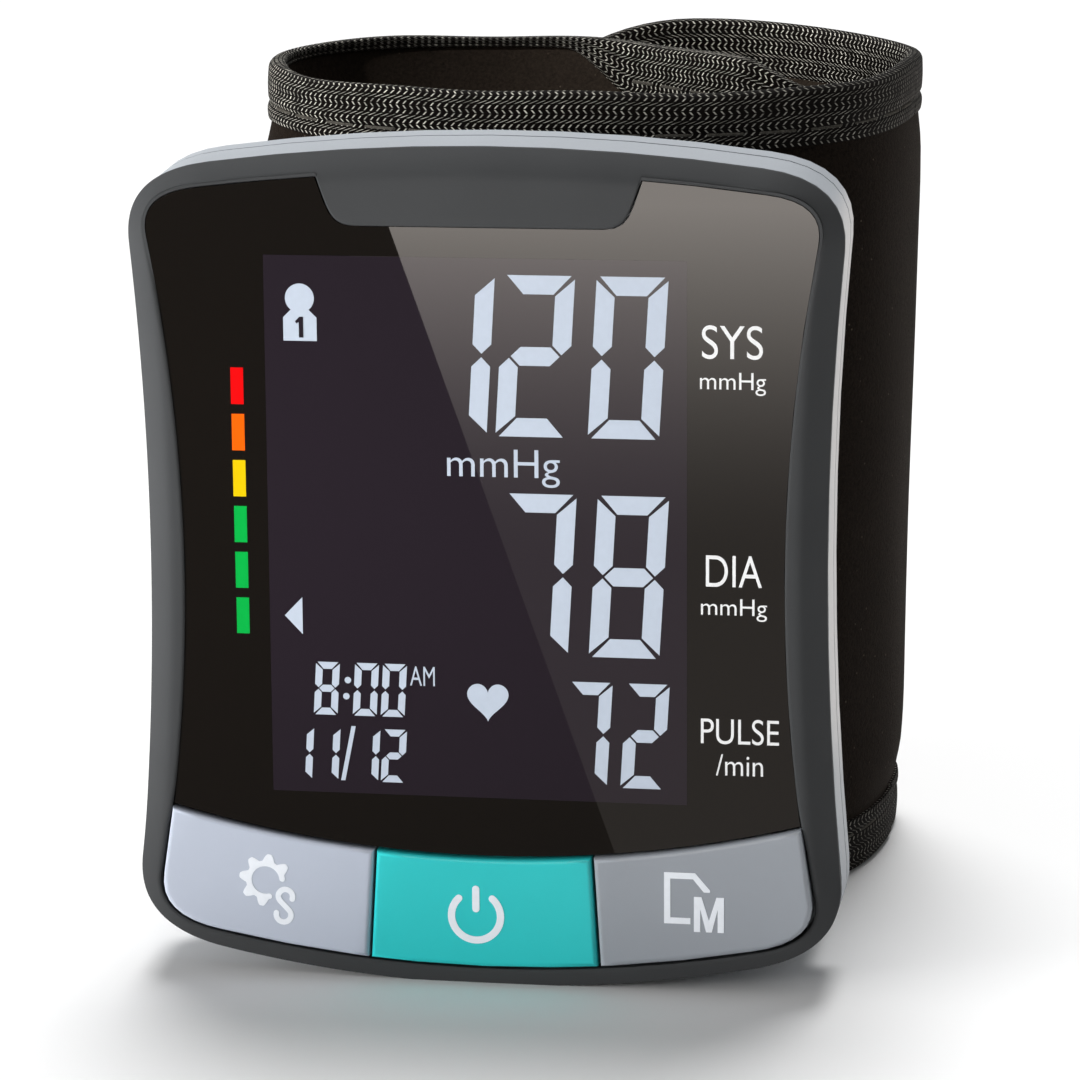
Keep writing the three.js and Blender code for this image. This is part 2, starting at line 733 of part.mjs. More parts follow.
function makePumpHead() {
  const body = rodZ(pumpRadius, pumpLow, pumpHigh, pumpX, pumpY, 24);
  const reach = pumpX - pumpRadius - nippleLength;
  return body.add(rodX(nippleRadius, reach, pumpX, airY, airZ, 12));
}

function makePumpMotor() {
  const low = pumpHigh + gap;
  const can = rodZ(pumpRadius, low, low + motorLength, pumpX, pumpY, 24);
  const flatY = pumpY + 0.86 * pumpRadius;
  const flat = box(pumpX - pumpRadius, pumpX + pumpRadius, flatY, 2 * humpBack, 0, faceHeight);
  return can.subtract(flat);
}

function makeCell(x) {
  const nub = 0.8;
  const radius = cellRadius;
  const low = cellZ - cellLength / 2;
  const points = [
    [0, 0], [radius - 0.4, 0], [radius, 0.4],
    [radius, cellLength - nub - 0.4], [radius - 0.4, cellLength - nub],
    [1.9, cellLength - nub], [1.9, cellLength], [0, cellLength],
  ].map(([r, h]) => new THREE.Vector2(r, h));
  const geometry = new THREE.LatheGeometry(points, 20).rotateX(Math.PI / 2);
  return toSolid(geometry.translate(x, cellY, low));
}

// A bent strip: a flat against the cell's end and a tail towards the board
function makeContact(x0, x1, z, direction) {
  const [near, far] = [z + direction * gap, z + direction * (gap + contactThickness)];
  const [low, high] = [Math.min(near, far), Math.max(near, far)];
  const half = contactHeight / 2;
  const flat = box(x0, x1, partFront, cellY + half, low, high);
  const tailLow = direction > 0 ? low : high - contactTail;
  const tail = box(x0, x1, partFront, partFront + contactThickness, tailLow, tailLow + contactTail);
  return flat.add(tail);
}

// Flap: a cover and a lining inside a binding that runs round the free end
function flapPoint(along, offset, height) {
  return wallPoint(flapPath, along, offset, height, -1);
}

// How far the flap's edge has come in at a distance from its end, for a corner of a given radius
function cornerDrop(left, radius) {
  const short = Math.max(radius - Math.max(left, 0), 0);
  return radius - Math.sqrt(radius * radius - short * short);
}

function flapLayer(outer, inner) {
  const edge = bindingHeight + gap;
  const reach = flapLength - edge;
  const stations = [];
  for (let k = 0; k <= flapStations; k += 1) {
    const along = reach * (1 - (1 - k / flapStations) ** 1.5);
    const low = edge + cornerDrop(reach - along, flapCorner - edge);
    const heights = [low, cuffHeight / 2, cuffHeight - low];
    const chain = (offset) => heights.map((height) => flapPoint(along, offset, height));
    stations.push({ outer: chain(outer), inner: chain(inner) });
  }
  return wall(stations);
}

function makeFlapBinding() {
  const route = [];
  const straight = flapLength - flapCorner;
  const thin = flapCorner - bindingHeight;
  const runs = 14;
  const turns = 8;
  for (let k = 0; k < runs; k += 1) {
    const along = straight * k / runs;
    route.push([along, cuffHeight, along, cuffHeight - bindingHeight]);
  }
  const turn = (angle, centre) => {
    const [s, c] = [Math.sin(angle), Math.cos(angle)];
    route.push([straight + flapCorner * s, centre + flapCorner * c, straight + thin * s, centre + thin * c]);
  };
  for (let k = 0; k <= turns; k += 1) turn(Math.PI / 2 * k / turns, cuffHeight - flapCorner);
  for (let k = 0; k <= turns; k += 1) turn(Math.PI / 2 * (1 + k / turns), flapCorner);
  for (let k = runs - 1; k >= 0; k -= 1) {
    const along = straight * k / runs;
    route.push([along, 0, along, bindingHeight]);
  }
  const stations = route.map(([a, h, b, i]) => ({
    outer: [flapPoint(a, flapHalf, h), flapPoint(b, flapHalf, i)],
    inner: [flapPoint(a, -flapHalf, h), flapPoint(b, -flapHalf, i)],
  }));
  return wall(stations);
}

function makeHookPad() {
  const from = flapLength - bindingHeight - hookLength;
  const stations = [];
  for (let k = 0; k <= 6; k += 1) {
    const along = from + hookLength * k / 6;
    const heights = [(cuffHeight - hookHeight) / 2, (cuffHeight + hookHeight) / 2];
    const chain = (offset) => heights.map((height) => flapPoint(along, offset, height));
    stations.push({ outer: chain(-flapHalf - gap), inner: chain(-flapHalf - gap - hookThickness) });
  }
  return wall(stations);
}

// Materials
function finish(color, roughness, metalness = 0) {
  return new THREE.MeshStandardMaterial({ color, roughness, metalness });
}
const greyPlastic = finish('#5a5c5e', 0.5);
const silverPlastic = finish('#b9bec4', 0.4);
const buttonGrey = finish('#a9aeba', 0.45);
const buttonTeal = finish('#2fbcc0', 0.4);
const blackAcrylic = finish('#1d1814', 0.08);
const displayGlass = finish('#2c252d', 0.1);
const whitePlastic = finish('#e8e8e4', 0.5);
const boardGreen = finish('#1f5a38', 0.5);
const blackPlastic = finish('#202224', 0.5);
const rubber = finish('#3a3a3c', 0.7);
const hoseSilicone = finish('#c8c6bc', 0.5);
const steel = finish('#b8babd', 0.35, 1);
const cellSleeve = finish('#3f6f8f', 0.4);
const velour = finish('#1f1a16', 0.95);
const knit = finish('#3b3c36', 0.9);
const bladderFilm = finish('#8d8f92', 0.6);

const monitor = new THREE.Group();

function add(name, solid, material) {
  const mesh = new THREE.Mesh(toGeometry(solid), material);
  mesh.name = name;
  monitor.add(mesh);
}

add('front_bezel', makeBezel(), greyPlastic);
add('display_window', makeWindow(), blackAcrylic);
add('set_button', makeButton(-1), buttonGrey);
add('power_button', makeButton(0), buttonTeal);
add('memory_button', makeButton(1), buttonGrey);
add('front_case', makeFrontCase(), silverPlastic);
add('rear_case', makeRearCase(), silverPlastic);
add('battery_cover', makeBatteryCover(), silverPlastic);
add('display_module', makeDisplay(), displayGlass);
add('backlight_panel', makeBacklight(), whitePlastic);
add('display_connector', makeConnector(), rubber);
add('main_board', makeBoard(), boardGreen);
add('set_switch', makeSwitch(-sideStemX), blackPlastic);
add('power_switch', makeSwitch(0), blackPlastic);
add('memory_switch', makeSwitch(sideStemX), blackPlastic);

const chipHalf = chipSize / 2;
const chipBack = partFront + chipHeight;
const chip = box(airX - chipHalf, airX + chipHalf, partFront, chipBack, chipZ - chipHalf, chipZ + chipHalf);
add('processor', chip, blackPlastic);
add('pressure_sensor', makeSensor(), blackPlastic);
add('buzzer', rodY(buzzerRadius, partFront, partFront + buzzerHeight, buzzerX, buzzerZ), blackPlastic);
add('air_manifold', makeManifold(), whitePlastic);
add('exhaust_valve', makeValve(), steel);
add('pump_head', makePumpHead(), whitePlastic);
add('pump_motor', makePumpMotor(), steel);

const hoseStep = manifoldSize / 2 + nippleLength + gap / 2;
const sensorTip = sensorZ + sensorSize / 2 + nippleLength;
add('valve_hose', makeHose('z', [airX, airY, airZ + hoseStep]), hoseSilicone);
add('sensor_hose', makeHose('z', [airX, airY, sensorTip + gap / 2]), hoseSilicone);
add('pump_hose', makeHose('x', [airX + hoseStep, airY, airZ]), hoseSilicone);
add('air_port', makePort(), blackPlastic);

const [cellLow, cellHigh] = [cellZ - cellLength / 2, cellZ + cellLength / 2];
add('left_cell', makeCell(leftCellX), cellSleeve);
add('right_cell', makeCell(rightCellX), cellSleeve);
const contactHalf = contactWidth / 2;
add('cell_bridge', makeContact(leftCellX - contactHalf, rightCellX + contactHalf, cellHigh, 1), steel);
add('left_contact', makeContact(leftCellX - contactHalf, leftCellX + contactHalf, cellLow, -1), steel);
add('right_contact', makeContact(rightCellX - contactHalf, rightCellX + contactHalf, cellLow, -1), steel);

screwPlaces.forEach(([x, z], i) => {
  add(`case_screw_${i + 1}`, makeScrew(x, z, wellFront + wellFloor + gap, deckBack + 2 * gap), steel);
});

const cuffCover = cuffLayer(paddedProfile(1, 0), paddedProfile(1, coverSheet), layerFrom);
const stay = cuffLayer(flatProfile(stayOuter), flatProfile(stayInner), stayFrom, stayTo);
const bladderTo = cuffLength - padMargin;
const bladder = cuffLayer(flatProfile(bladderOuter), flatProfile(bladderInner), stayFrom, bladderTo);
add('cuff_cover', drillCuff(cuffCover.subtract(portHole), screwRadius + gap), velour);
add('cuff_stay', drillCuff(stay.subtract(portHole), screwRadius + gap), blackPlastic);
add('air_bladder', bladder.subtract(portHole), bladderFilm);
add('cuff_lining', cuffLayer(paddedProfile(-1, 0), paddedProfile(-1, coverSheet), layerFrom), velour);
add('upper_binding', cuffLayer(bindingProfile(1, 0), bindingProfile(1, bindingThickness), layerFrom), knit);
add('lower_binding', cuffLayer(bindingProfile(-1, 0), bindingProfile(-1, bindingThickness), layerFrom), knit);
add('flap_cover', flapLayer(flapHalf, gap / 2), velour);
add('flap_lining', flapLayer(-gap / 2, -flapHalf), velour);
add('flap_binding', makeFlapBinding(), knit);
add('hook_pad', makeHookPad(), blackPlastic);

// How far back the saddle lies at a given x
function saddleAt(x) {
  const steps = 400;
  let nearest = Infinity;
  for (let k = 0; k <= steps; k += 1) {
    const [px, py] = wallPoint(cuffPath, stayTo * k / steps, cuffHalf + gap, cuffHeight / 2);
    if (Math.abs(px - x) < screwHeadRadius) nearest = Math.min(nearest, py);
  }
  return nearest;
}

cuffScrewPlaces.forEach((z, i) => {
  const surface = saddleAt(cuffScrewX);
  const headFront = surface - rearWall - gap - screwHeadHeight;
  const tip = surface + gap + coverSheet + gap + stayThickness;
  add(`cuff_screw_${i + 1}`, makeScrew(cuffScrewX, z, headFront, tip), steel);
});

// Stand the monitor on its base: the middle of the flat under the front case is the origin
monitor.position.set(0, -baseMid, -baseCut);
const standing = new THREE.Group();
standing.add(monitor);
standing.rotation.x = -lean;

export default standing;
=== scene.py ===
import math

import bpy
import numpy as np
from mathutils import Matrix, Vector


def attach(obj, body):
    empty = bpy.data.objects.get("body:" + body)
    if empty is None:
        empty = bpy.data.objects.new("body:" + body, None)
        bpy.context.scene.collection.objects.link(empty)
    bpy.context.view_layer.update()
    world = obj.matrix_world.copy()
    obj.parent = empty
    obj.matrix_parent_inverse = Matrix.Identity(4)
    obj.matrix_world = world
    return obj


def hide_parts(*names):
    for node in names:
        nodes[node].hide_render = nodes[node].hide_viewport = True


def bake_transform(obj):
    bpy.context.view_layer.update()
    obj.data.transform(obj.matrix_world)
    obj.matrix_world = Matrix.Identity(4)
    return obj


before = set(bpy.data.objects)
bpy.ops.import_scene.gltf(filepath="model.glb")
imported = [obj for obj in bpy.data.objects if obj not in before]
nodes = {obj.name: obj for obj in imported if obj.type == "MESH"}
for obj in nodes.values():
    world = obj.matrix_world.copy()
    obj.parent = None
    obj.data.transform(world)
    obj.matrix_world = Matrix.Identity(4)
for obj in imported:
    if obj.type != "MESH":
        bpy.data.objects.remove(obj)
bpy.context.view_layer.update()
print("frame loaded:", len(nodes), "nodes")

# How the solids stand, in the face's own millimetres: x right, y behind the window, z up the face
stance = {"lean": math.radians(3.3), "footDepth": 4.75, "footRise": 0.45}


# Turns directions of the face's own frame back by the lean, about x
def leaned(v):
    v = np.asarray(v, float)
    c, s = math.cos(stance["lean"]), math.sin(stance["lean"])
    return np.stack([v[..., 0], c * v[..., 1] + s * v[..., 2], c * v[..., 2] - s * v[..., 1]], -1)


# Face millimetres to the frame's metres: shifted so that the foot is at the origin, then leaned
def stand(points):
    return leaned(np.asarray(points, float) - (0, stance["footDepth"], stance["footRise"])) / 1000


# Height of the floor in the face's own frame, at depth y
def floorAt(y):
    return stance["footRise"] + math.tan(stance["lean"]) * (y - stance["footDepth"])


# Smooth step from 0 to 1 as x goes from a to b
def eased(x, a, b):
    t = np.clip((x - a) / (b - a), 0, 1)
    return t * t * (3 - 2 * t)


# A new object, linked into the scene
def addObject(name, data):
    thing = bpy.data.objects.new(name, data)
    bpy.context.scene.collection.objects.link(thing)
    return thing


# Camera, from the photograph's perspective of the face
view = {
    "place": (64.91, -352.09, 113.37),
    "right": (0.98611, 0.16592, -0.00690),
    "up": (-0.02669, 0.19936, 0.97956),
    "lens": 141.76,  # on a 36 mm wide sensor
}
right, up = leaned(view["right"]), leaned(view["up"])
turn = np.stack([right, up, np.cross(right, up)], 1)
pose = np.eye(4)
pose[:3, :3] = turn
pose[:3, 3] = stand(view["place"])
cameraData = bpy.data.cameras.new("camera")
cameraData.lens = view["lens"]
cameraData.sensor_width = 36
cameraData.clip_start = 0.01
camera = addObject("camera", cameraData)
camera.matrix_world = Matrix(pose.tolist())
bpy.context.scene.camera = camera
print("camera placed")


# Materials

# sRGB hex to linear colour
def shade(text):
    rgb = np.array([int(text[i:i + 2], 16) for i in (1, 3, 5)]) / 255
    linear = np.where(rgb <= 0.04045, rgb / 12.92, ((rgb + 0.055) / 1.055) ** 2.4)
    return (*linear.tolist(), 1.0)


# Sets a node's inputs, by name or number, to a value, another node's socket or its first output
def feed(node, inputs):
    for key, value in inputs.items():
        if isinstance(value, bpy.types.Node):
            value = value.outputs[0]
        if isinstance(value, bpy.types.NodeSocket):
            node.id_data.links.new(value, node.inputs[key])
        else:
            node.inputs[key].default_value = value


# Adds a node to a tree. A colour mix takes its two colours at inputs 6 and 7 and gives output 2.
def addNode(tree, kind, inputs, **settings):
    node = tree.nodes.new("ShaderNode" + kind)
    for key, value in settings.items():
        setattr(node, key, value)
    feed(node, inputs)
    return node


# A material whose shader's uniform values are set on its own sockets, and the place on the object
def startMaterial(name, colour, values):
    material = bpy.data.materials.new(name)
    material.use_nodes = True
    tree = material.node_tree
    shader = tree.nodes["Principled BSDF"]
    feed(shader, {"Base Color": shade(colour), **values})
    return material, tree, shader, addNode(tree, "TexCoord", {}).outputs["Object"]


# Moulded or painted plastic: two tones in broad clouds, and a fine spark-eroded grain that breaks the gloss
def mouldedPlastic(name, light, dark, rough, grain, depth, metallic=0.0, coat=0.0, specular=0.5):
    values = {"Roughness": rough, "Metallic": metallic, "Coat Weight": coat, "Specular IOR Level": specular,
              "IOR": 1.53 if metallic < 1 else 1.5}  # a metal keeps the default
    material, tree, shader, place = startMaterial(name, light, values)
    cloud = addNode(tree, "TexNoise", {"Vector": place, "Scale": 1000 / 9, "Detail": 3.0})  # 9 mm clouds
    fine = addNode(tree, "TexNoise", {"Vector": place, "Scale": 1000 / grain, "Detail": 2.0})
    tone = addNode(tree, "Mix", {"Factor": cloud, 6: shade(dark), 7: shade(light)}, data_type="RGBA")
    gloss = addNode(tree, "MapRange", {"Value": fine, "To Min": rough - 0.07, "To Max": rough + 0.07})
    bump = addNode(tree, "Bump", {"Height": fine, "Strength": 0.5, "Distance": depth / 1000})
    feed(shader, {"Base Color": tone.outputs[2], "Roughness": gloss, "Normal": bump})
    return material


# Tones, roughness, grain and its depth in millimetres
greyAbs = mouldedPlastic("matt_grey_abs", "#454647", "#3f4041", 0.5, 0.32, 0.02, specular=0.015)
silverPaint = mouldedPlastic("silver_painted_abs", "#979ca2", "#8d9298", 0.4, 0.22, 0.012, metallic=0.2,
                             specular=0.08)
# One satin plastic in two tints: the set button's paler tint is painted light, the memory button's greyer
# tint painted shade
capTintPaintedLight = mouldedPlastic("satin_abs_painted_light", "#bdc4d2", "#b5bcca", 0.38, 0.25, 0.01, specular=0.3)
capTintPaintedShade = mouldedPlastic("satin_abs_painted_shade", "#999ea5", "#93989f", 0.38, 0.25, 0.01, specular=0.3)
tealCap = mouldedPlastic("satin_teal_abs", "#2bcccc", "#26c3c4", 0.36, 0.25, 0.01, specular=0.3)
whiteNylon = mouldedPlastic("white_nylon", "#e6e5df", "#d9d7cf", 0.5, 0.4, 0.02)
blackNylon = mouldedPlastic("black_nylon", "#232527", "#1b1c1e", 0.5, 0.4, 0.02)
grayRubber = mouldedPlastic("grey_rubber", "#434446", "#36373a", 0.72, 0.5, 0.03)
clearSilicone = mouldedPlastic("milky_silicone", "#d0cec4", "#c2c0b6", 0.48, 0.6, 0.02)
cellWrap = mouldedPlastic("shrink_sleeve", "#3f7397", "#376688", 0.3, 0.7, 0.01, coat=0.4)
fluxBoard = mouldedPlastic("green_solder_mask", "#226240", "#1a4f33", 0.4, 0.6, 0.02)
liquidGlass = mouldedPlastic("display_cell_glass", "#2f2830", "#29222a", 0.12, 1.0, 0.002, coat=0.6)
springSteel = mouldedPlastic("nickel_plated_steel", "#c6c8cb", "#aeb1b5", 0.3, 0.3, 0.006, metallic=1.0)
print("plastics ready")


# Hard-coated acrylic printed black on the back: deep, glossy, with a faint orange peel
def coatedAcrylic(name, colour, rough, specular):
    values = {"Roughness": rough, "IOR": 1.49, "Specular IOR Level": specular}
    material, tree, shader, place = startMaterial(name, colour, values)
    peel = addNode(tree, "TexNoise", {"Vector": place, "Scale": 1000 / 14, "Detail": 1.0})  # 14 mm ripples
    dust = addNode(tree, "TexNoise", {"Vector": place, "Scale": 1000 / 1.5, "Detail": 4.0})  # 1.5 mm smears
    gloss = addNode(tree, "MapRange", {"Value": dust, "To Min": rough * 0.7, "To Max": rough * 1.5})
    bump = addNode(tree, "Bump", {"Height": peel, "Strength": 0.25, "Distance": 0.00002})
    feed(shader, {"Roughness": gloss, "Normal": bump})
    return material


blackAcrylic = coatedAcrylic("hard_coated_black_acrylic", "#0d0906", 0.012, 0.3)
displayFilm = coatedAcrylic("display_polariser_film", "#211a22", 0.014, 0.28)


# Screen-printed ink or a lit display segment: even colour with the faint mottle of a printed film
# The glow is the backlight on a lit display segment; on printed ink it is a painted glow
def printedInk(name, colour, glow):
    values = {"Roughness": 0.3, "IOR": 1.5, "Specular IOR Level": 0.05, "Emission Strength": glow,
              "Emission Color": shade(colour)}
    material, tree, shader, place = startMaterial(name, colour, values)
    speck = addNode(tree, "TexNoise", {"Vector": place, "Scale": 1000 / 0.6, "Detail": 2.0})  # 0.6 mm mottle
    level = addNode(tree, "MapRange", {"Value": speck, "To Min": 0.94, "To Max": 1.04})
    feed(shader, {"Base Color": addNode(tree, "HueSaturation", {"Color": shade(colour), "Value": level})})
    return material


segmentLight = printedInk("lit_segments", "#b1bac7", 0.18)
# The labels, button icons and colour bars are printed, and their small glow is a painted glow
labelInk = printedInk("white_label_ink", "#e4e4e4", 0.1)
iconInk = printedInk("pale_icon_ink", "#e8ecf2", 0.05)
barInks = [printedInk("bar_ink_" + str(i + 1), colour, 0.05) for i, colour in enumerate(
    ("#dc0509", "#f25e04", "#dcb903", "#06a541", "#06a541", "#06a541"))]
darkInk = printedInk("dark_display_ink", "#241d25", 0.0)


# Brushed loop velour: near-black pile in fine tufts, paler in brushed patches, with a little lint
def loopVelour(name, deep, pale, tuft):
    values = {"Roughness": 0.95, "Specular IOR Level": 0.03, "Sheen Weight": 0.07, "Sheen Roughness": 0.45,
              "Sheen Tint": shade("#8a7d70")}
    material, tree, shader, place = startMaterial(name, deep, values)
    pile = addNode(tree, "TexNoise", {"Vector": place, "Scale": 1000 / tuft, "Detail": 4.0, "Roughness": 0.7})
    swirl = addNode(tree, "TexNoise", {"Vector": place, "Scale": 1000 / 6, "Detail": 3.0})  # 6 mm patches
    lint = addNode(tree, "TexVoronoi", {"Vector": place, "Scale": 1000 / 1.7})  # flecks 1.7 mm apart
    patch = addNode(tree, "MapRange", {"Value": swirl, "To Min": 0.75, "To Max": 1.15})
    both = addNode(tree, "Math", {0: pile, 1: patch}, operation="MULTIPLY")
    level = addNode(tree, "MapRange", {"Value": both, "From Min": 0.28, "From Max": 0.72})
    nap = addNode(tree, "Mix", {"Factor": level, 6: shade(deep), 7: shade(pale)}, data_type="RGBA")
    fleck = addNode(tree, "MapRange", {"Value": lint, "From Min": 0.07, "From Max": 0.02})
    dusted = addNode(tree, "Mix", {"Factor": fleck, 6: nap.outputs[2], 7: shade("#4c443b")}, data_type="RGBA")
    bump = addNode(tree, "Bump", {"Height": pile, "Strength": 0.8, "Distance": 0.00022})
    feed(shader, {"Base Color": dusted.outputs[2], "Normal": bump})
    return material


velour = loopVelour("black_loop_velour", "#0c0907", "#1e1813", 0.35)
liningCloth = loopVelour("brushed_nylon_lining", "#1b1713", "#302923", 0.3)


# Woven binding tape: rows of slanted bright yarns on a dark ground, the slant changing from row to row.
# The UV map is in millimetres, u along the tape and v across it. Round the right-hand bend, up to 46 mm
# along, the outer leaf's yarns are darkened as painted shade, where that side turns away from the light; the
# inner leaf is not.
def herringboneTape(name, ground, yarn, pitch, row):
    values = {"Roughness": 0.75, "Specular IOR Level": 0.03}
    material, tree, shader, place = startMaterial(name, ground, values)
    cloth = addNode(tree, "TexCoord", {}).outputs["UV"]
    u, v = addNode(tree, "SeparateXYZ", {"Vector": cloth}).outputs[:2]
    made = {"u": u, "v": v}
    for result, operation, *values in (
            ("across", "DIVIDE", "v", row), ("number", "FLOOR", "across"), ("rowShare", "FRACT", "across"),
            ("inRow", "SUBTRACT", "rowShare", 0.5), ("turn", "PINGPONG", "number", 2.0),
            ("side", "SUBTRACT", "turn", 0.5), ("slant", "MULTIPLY", "inRow", "side"),
            ("along", "DIVIDE", "u", pitch), ("shifted", "MULTIPLY_ADD", "slant", 1.1, "along"),
            ("yarnShare", "FRACT", "shifted"), ("inYarn", "SUBTRACT", "yarnShare", 0.5),
            ("yarnSide", "ABSOLUTE", "inYarn"), ("rowSide", "ABSOLUTE", "inRow")):
        inputs = {k: made.get(value, value) for k, value in enumerate(values)}
        made[result] = addNode(tree, "Math", inputs, operation=operation)
    wide = addNode(tree, "MapRange", {"Value": made["yarnSide"], "From Min": 0.16, "From Max": 0.07})
    tall = addNode(tree, "MapRange", {"Value": made["rowSide"], "From Min": 0.42, "From Max": 0.28})
    crown = addNode(tree, "Math", {0: wide, 1: tall}, operation="MULTIPLY")
    wear = addNode(tree, "TexNoise", {"Vector": place, "Scale": 1000 / 1.1, "Detail": 3.0})  # yarn by yarn
    worn = addNode(tree, "MapRange", {"Value": wear, "From Min": 0.3, "From Max": 0.7, "To Min": 0.25})
    # Painted shade: the outer leaf's yarns darken towards the right-hand bend; the random yarn wear above is
    # real
    paintedBendShade = addNode(tree, "MapRange", {"Value": u, "From Min": 6.0, "From Max": 46.0, "To Min": 0.25})
    inner = addNode(tree, "MapRange", {"Value": v, "From Min": 5.4, "From Max": 6.4})
    paintedShadeLevel = addNode(tree, "Math", {0: paintedBendShade, 1: inner}, operation="MAXIMUM")
    wearAndPaintedShade = addNode(tree, "Math", {0: worn, 1: paintedShadeLevel}, operation="MULTIPLY")
    bright = addNode(tree, "Math", {0: crown, 1: wearAndPaintedShade}, operation="MULTIPLY")
    tone = addNode(tree, "Mix", {"Factor": bright, 6: shade(ground), 7: shade(yarn)}, data_type="RGBA")
    bump = addNode(tree, "Bump", {"Height": crown, "Strength": 0.9, "Distance": 0.00018})
    feed(shader, {"Base Color": tone.outputs[2], "Normal": bump})
    return material


bindingTape = herringboneTape("woven_polyester_tape", "#090706", "#dbd7cb", 0.65, 0.42)  # pitch, row in mm
sewingThread = loopVelour("spun_polyester_thread", "#242220", "#5e5b54", 0.2)
bladderFilm = mouldedPlastic("frosted_bladder_film", "#94969a", "#85878b", 0.5, 1.2, 0.05)


# Moulded hook tape: small hooks 0.9 mm apart, drawn as bumps
def hookTape(name, colour, gap):
    material, tree, shader, place = startMaterial(name, colour, {"Roughness": 0.55, "IOR": 1.53})
    hooks = addNode(tree, "TexVoronoi", {"Vector": place, "Scale": 1000 / 0.9, "Randomness": 0.25})
    tone = addNode(tree, "Mix", {"Factor": hooks, 6: shade(gap), 7: shade(colour)}, data_type="RGBA")
    bump = addNode(tree, "Bump", {"Height": hooks, "Strength": 1.0, "Distance": 0.0004}, invert=True)
    feed(shader, {"Base Color": tone.outputs[2], "Normal": bump})
    return material


hookNylon = hookTape("moulded_nylon_hooks", "#141416", "#35363a")
print("materials ready:", len(bpy.data.materials))


# Meshes

# Corner numbers of each cell of a grid counted row by row; a closed side joins its last line to its first
def gridQuads(rows, columns, closedRows=False, closedColumns=False):
    i = np.arange(rows if closedRows else rows - 1)
    j = np.arange(columns if closedColumns else columns - 1)
    i, j = np.meshgrid(i, j, indexing="ij")
    k, l = (i + 1) % rows, (j + 1) % columns
    return np.stack([i * columns + j, i * columns + l, k * columns + l, k * columns + j], -1).reshape(-1, 4)


# The same cells' corners in a grid of texture places, whose closed sides have one more line
def gridCorners(uv):
    return np.stack([uv[:-1, :-1], uv[:-1, 1:], uv[1:, 1:], uv[1:, :-1]], 2).reshape(-1, 2)


# A mesh's points as an array
def meshPoints(mesh):
    place = np.zeros(len(mesh.vertices) * 3)
    mesh.vertices.foreach_get("co", place)
    return place.reshape(-1, 3)


sharpAngle = math.radians(42)


# A mesh object in the frame, riding on a body, its faces turned outwards by the sign of its volume
def makePiece(name, points, faces, material, body="monitor", corners=None):
    mesh = bpy.data.meshes.new(name)
    mesh.from_pydata(stand(points.reshape(-1, 3)).tolist(), [], [list(map(int, face)) for face in faces])
    if corners is not None:
        layer = mesh.uv_layers.new(name="cloth")
        layer.data.foreach_set("uv", np.asarray(corners, np.float32).ravel())
    mesh.calc_loop_triangles()
    triangles = np.zeros(len(mesh.loop_triangles) * 3, int)
    mesh.loop_triangles.foreach_get("vertices", triangles)
    a, b, c = meshPoints(mesh)[triangles.reshape(-1, 3)].transpose(1, 0, 2)
    if np.einsum("ij,ij->", a, np.cross(b, c)) < 0:
        mesh.flip_normals()
    mesh.polygons.foreach_set("use_smooth", np.ones(len(mesh.polygons), bool))
    mesh.set_sharp_from_angle(angle=sharpAngle)
    mesh.materials.append(material)
    piece = addObject(name, mesh)
    if body:
        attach(piece, body)
    return piece


# A ring of points carried along stations (station, ring, xyz) and closed by a face at each end
def makeTube(name, points, material, body="monitor", uv=None):
    rows, columns = points.shape[:2]
    faces = list(gridQuads(rows, columns, closedColumns=True))
    faces += [np.arange(columns)[::-1], np.arange(columns) + (rows - 1) * columns]
    corners = None
    if uv is not None:
        corners = np.concatenate([gridCorners(uv), uv[0, :columns][::-1], uv[-1, :columns]])
    return makePiece(name, points, faces, material, body, corners)


# Distance of each point from the first, along a chain of points
def runLengths(points):
    return np.concatenate([[0], np.cumsum(np.linalg.norm(np.diff(points, axis=0), axis=1))])


# Bezel: a rounded rim carried round the hourglass face, with a tab that hangs into the opening
face = {"halfTop": 30.95, "halfWaist": 29.7, "halfBottom": 31.05, "top": 73.6, "bottom": 0.0,
        "topCorner": 7.0, "bottomCorner": 8.0, "topCrown": 1.6, "bottomCrown": 2.35}
opening = {"halfTop": 29.2, "halfWaist": 26.5, "halfBottom": 28.95, "top": 71.9, "bottom": 1.6,
           "topCorner": 4.6, "bottomCorner": 5.4, "topCrown": 1.6, "bottomCrown": 2.35}
bezel = {
    "rise": 0.2, "round": 2.4, "drop": 1.9, "footDrop": 0.5, "footRun": (1.0, 15.0), "back": 2.2,
    "innerRound": 0.34, "innerDrop": 0.16, "innerBack": 1.9, "lip": 0.24, "lipFoot": (13.5, 16.5),
    "lipRise": 0.02, "tabHalf": 14.0, "tabTaper": 3.6, "tabFoot": 67.2, "tabPull": 3.2, "stretch": 28,
}


# Points of a quadratic curve from a to c, drawn towards b, without the last one
def quadratic(a, b, c, count):
    t = np.linspace(0, 1, count, endpoint=False)[:, None]
    return (1 - t) ** 2 * np.array(a) + 2 * t * (1 - t) * np.array(b) + t ** 2 * np.array(c)


# Points of a cubic curve from a to d, drawn towards b and c
def cubic(a, b, c, d, count):
    t = np.linspace(0, 1, count)[:, None]
    a, b, c, d = map(np.array, (a, b, c, d))
    return (1 - t) ** 3 * a + 3 * t * (1 - t) ** 2 * b + 3 * t ** 2 * (1 - t) * c + t ** 3 * d


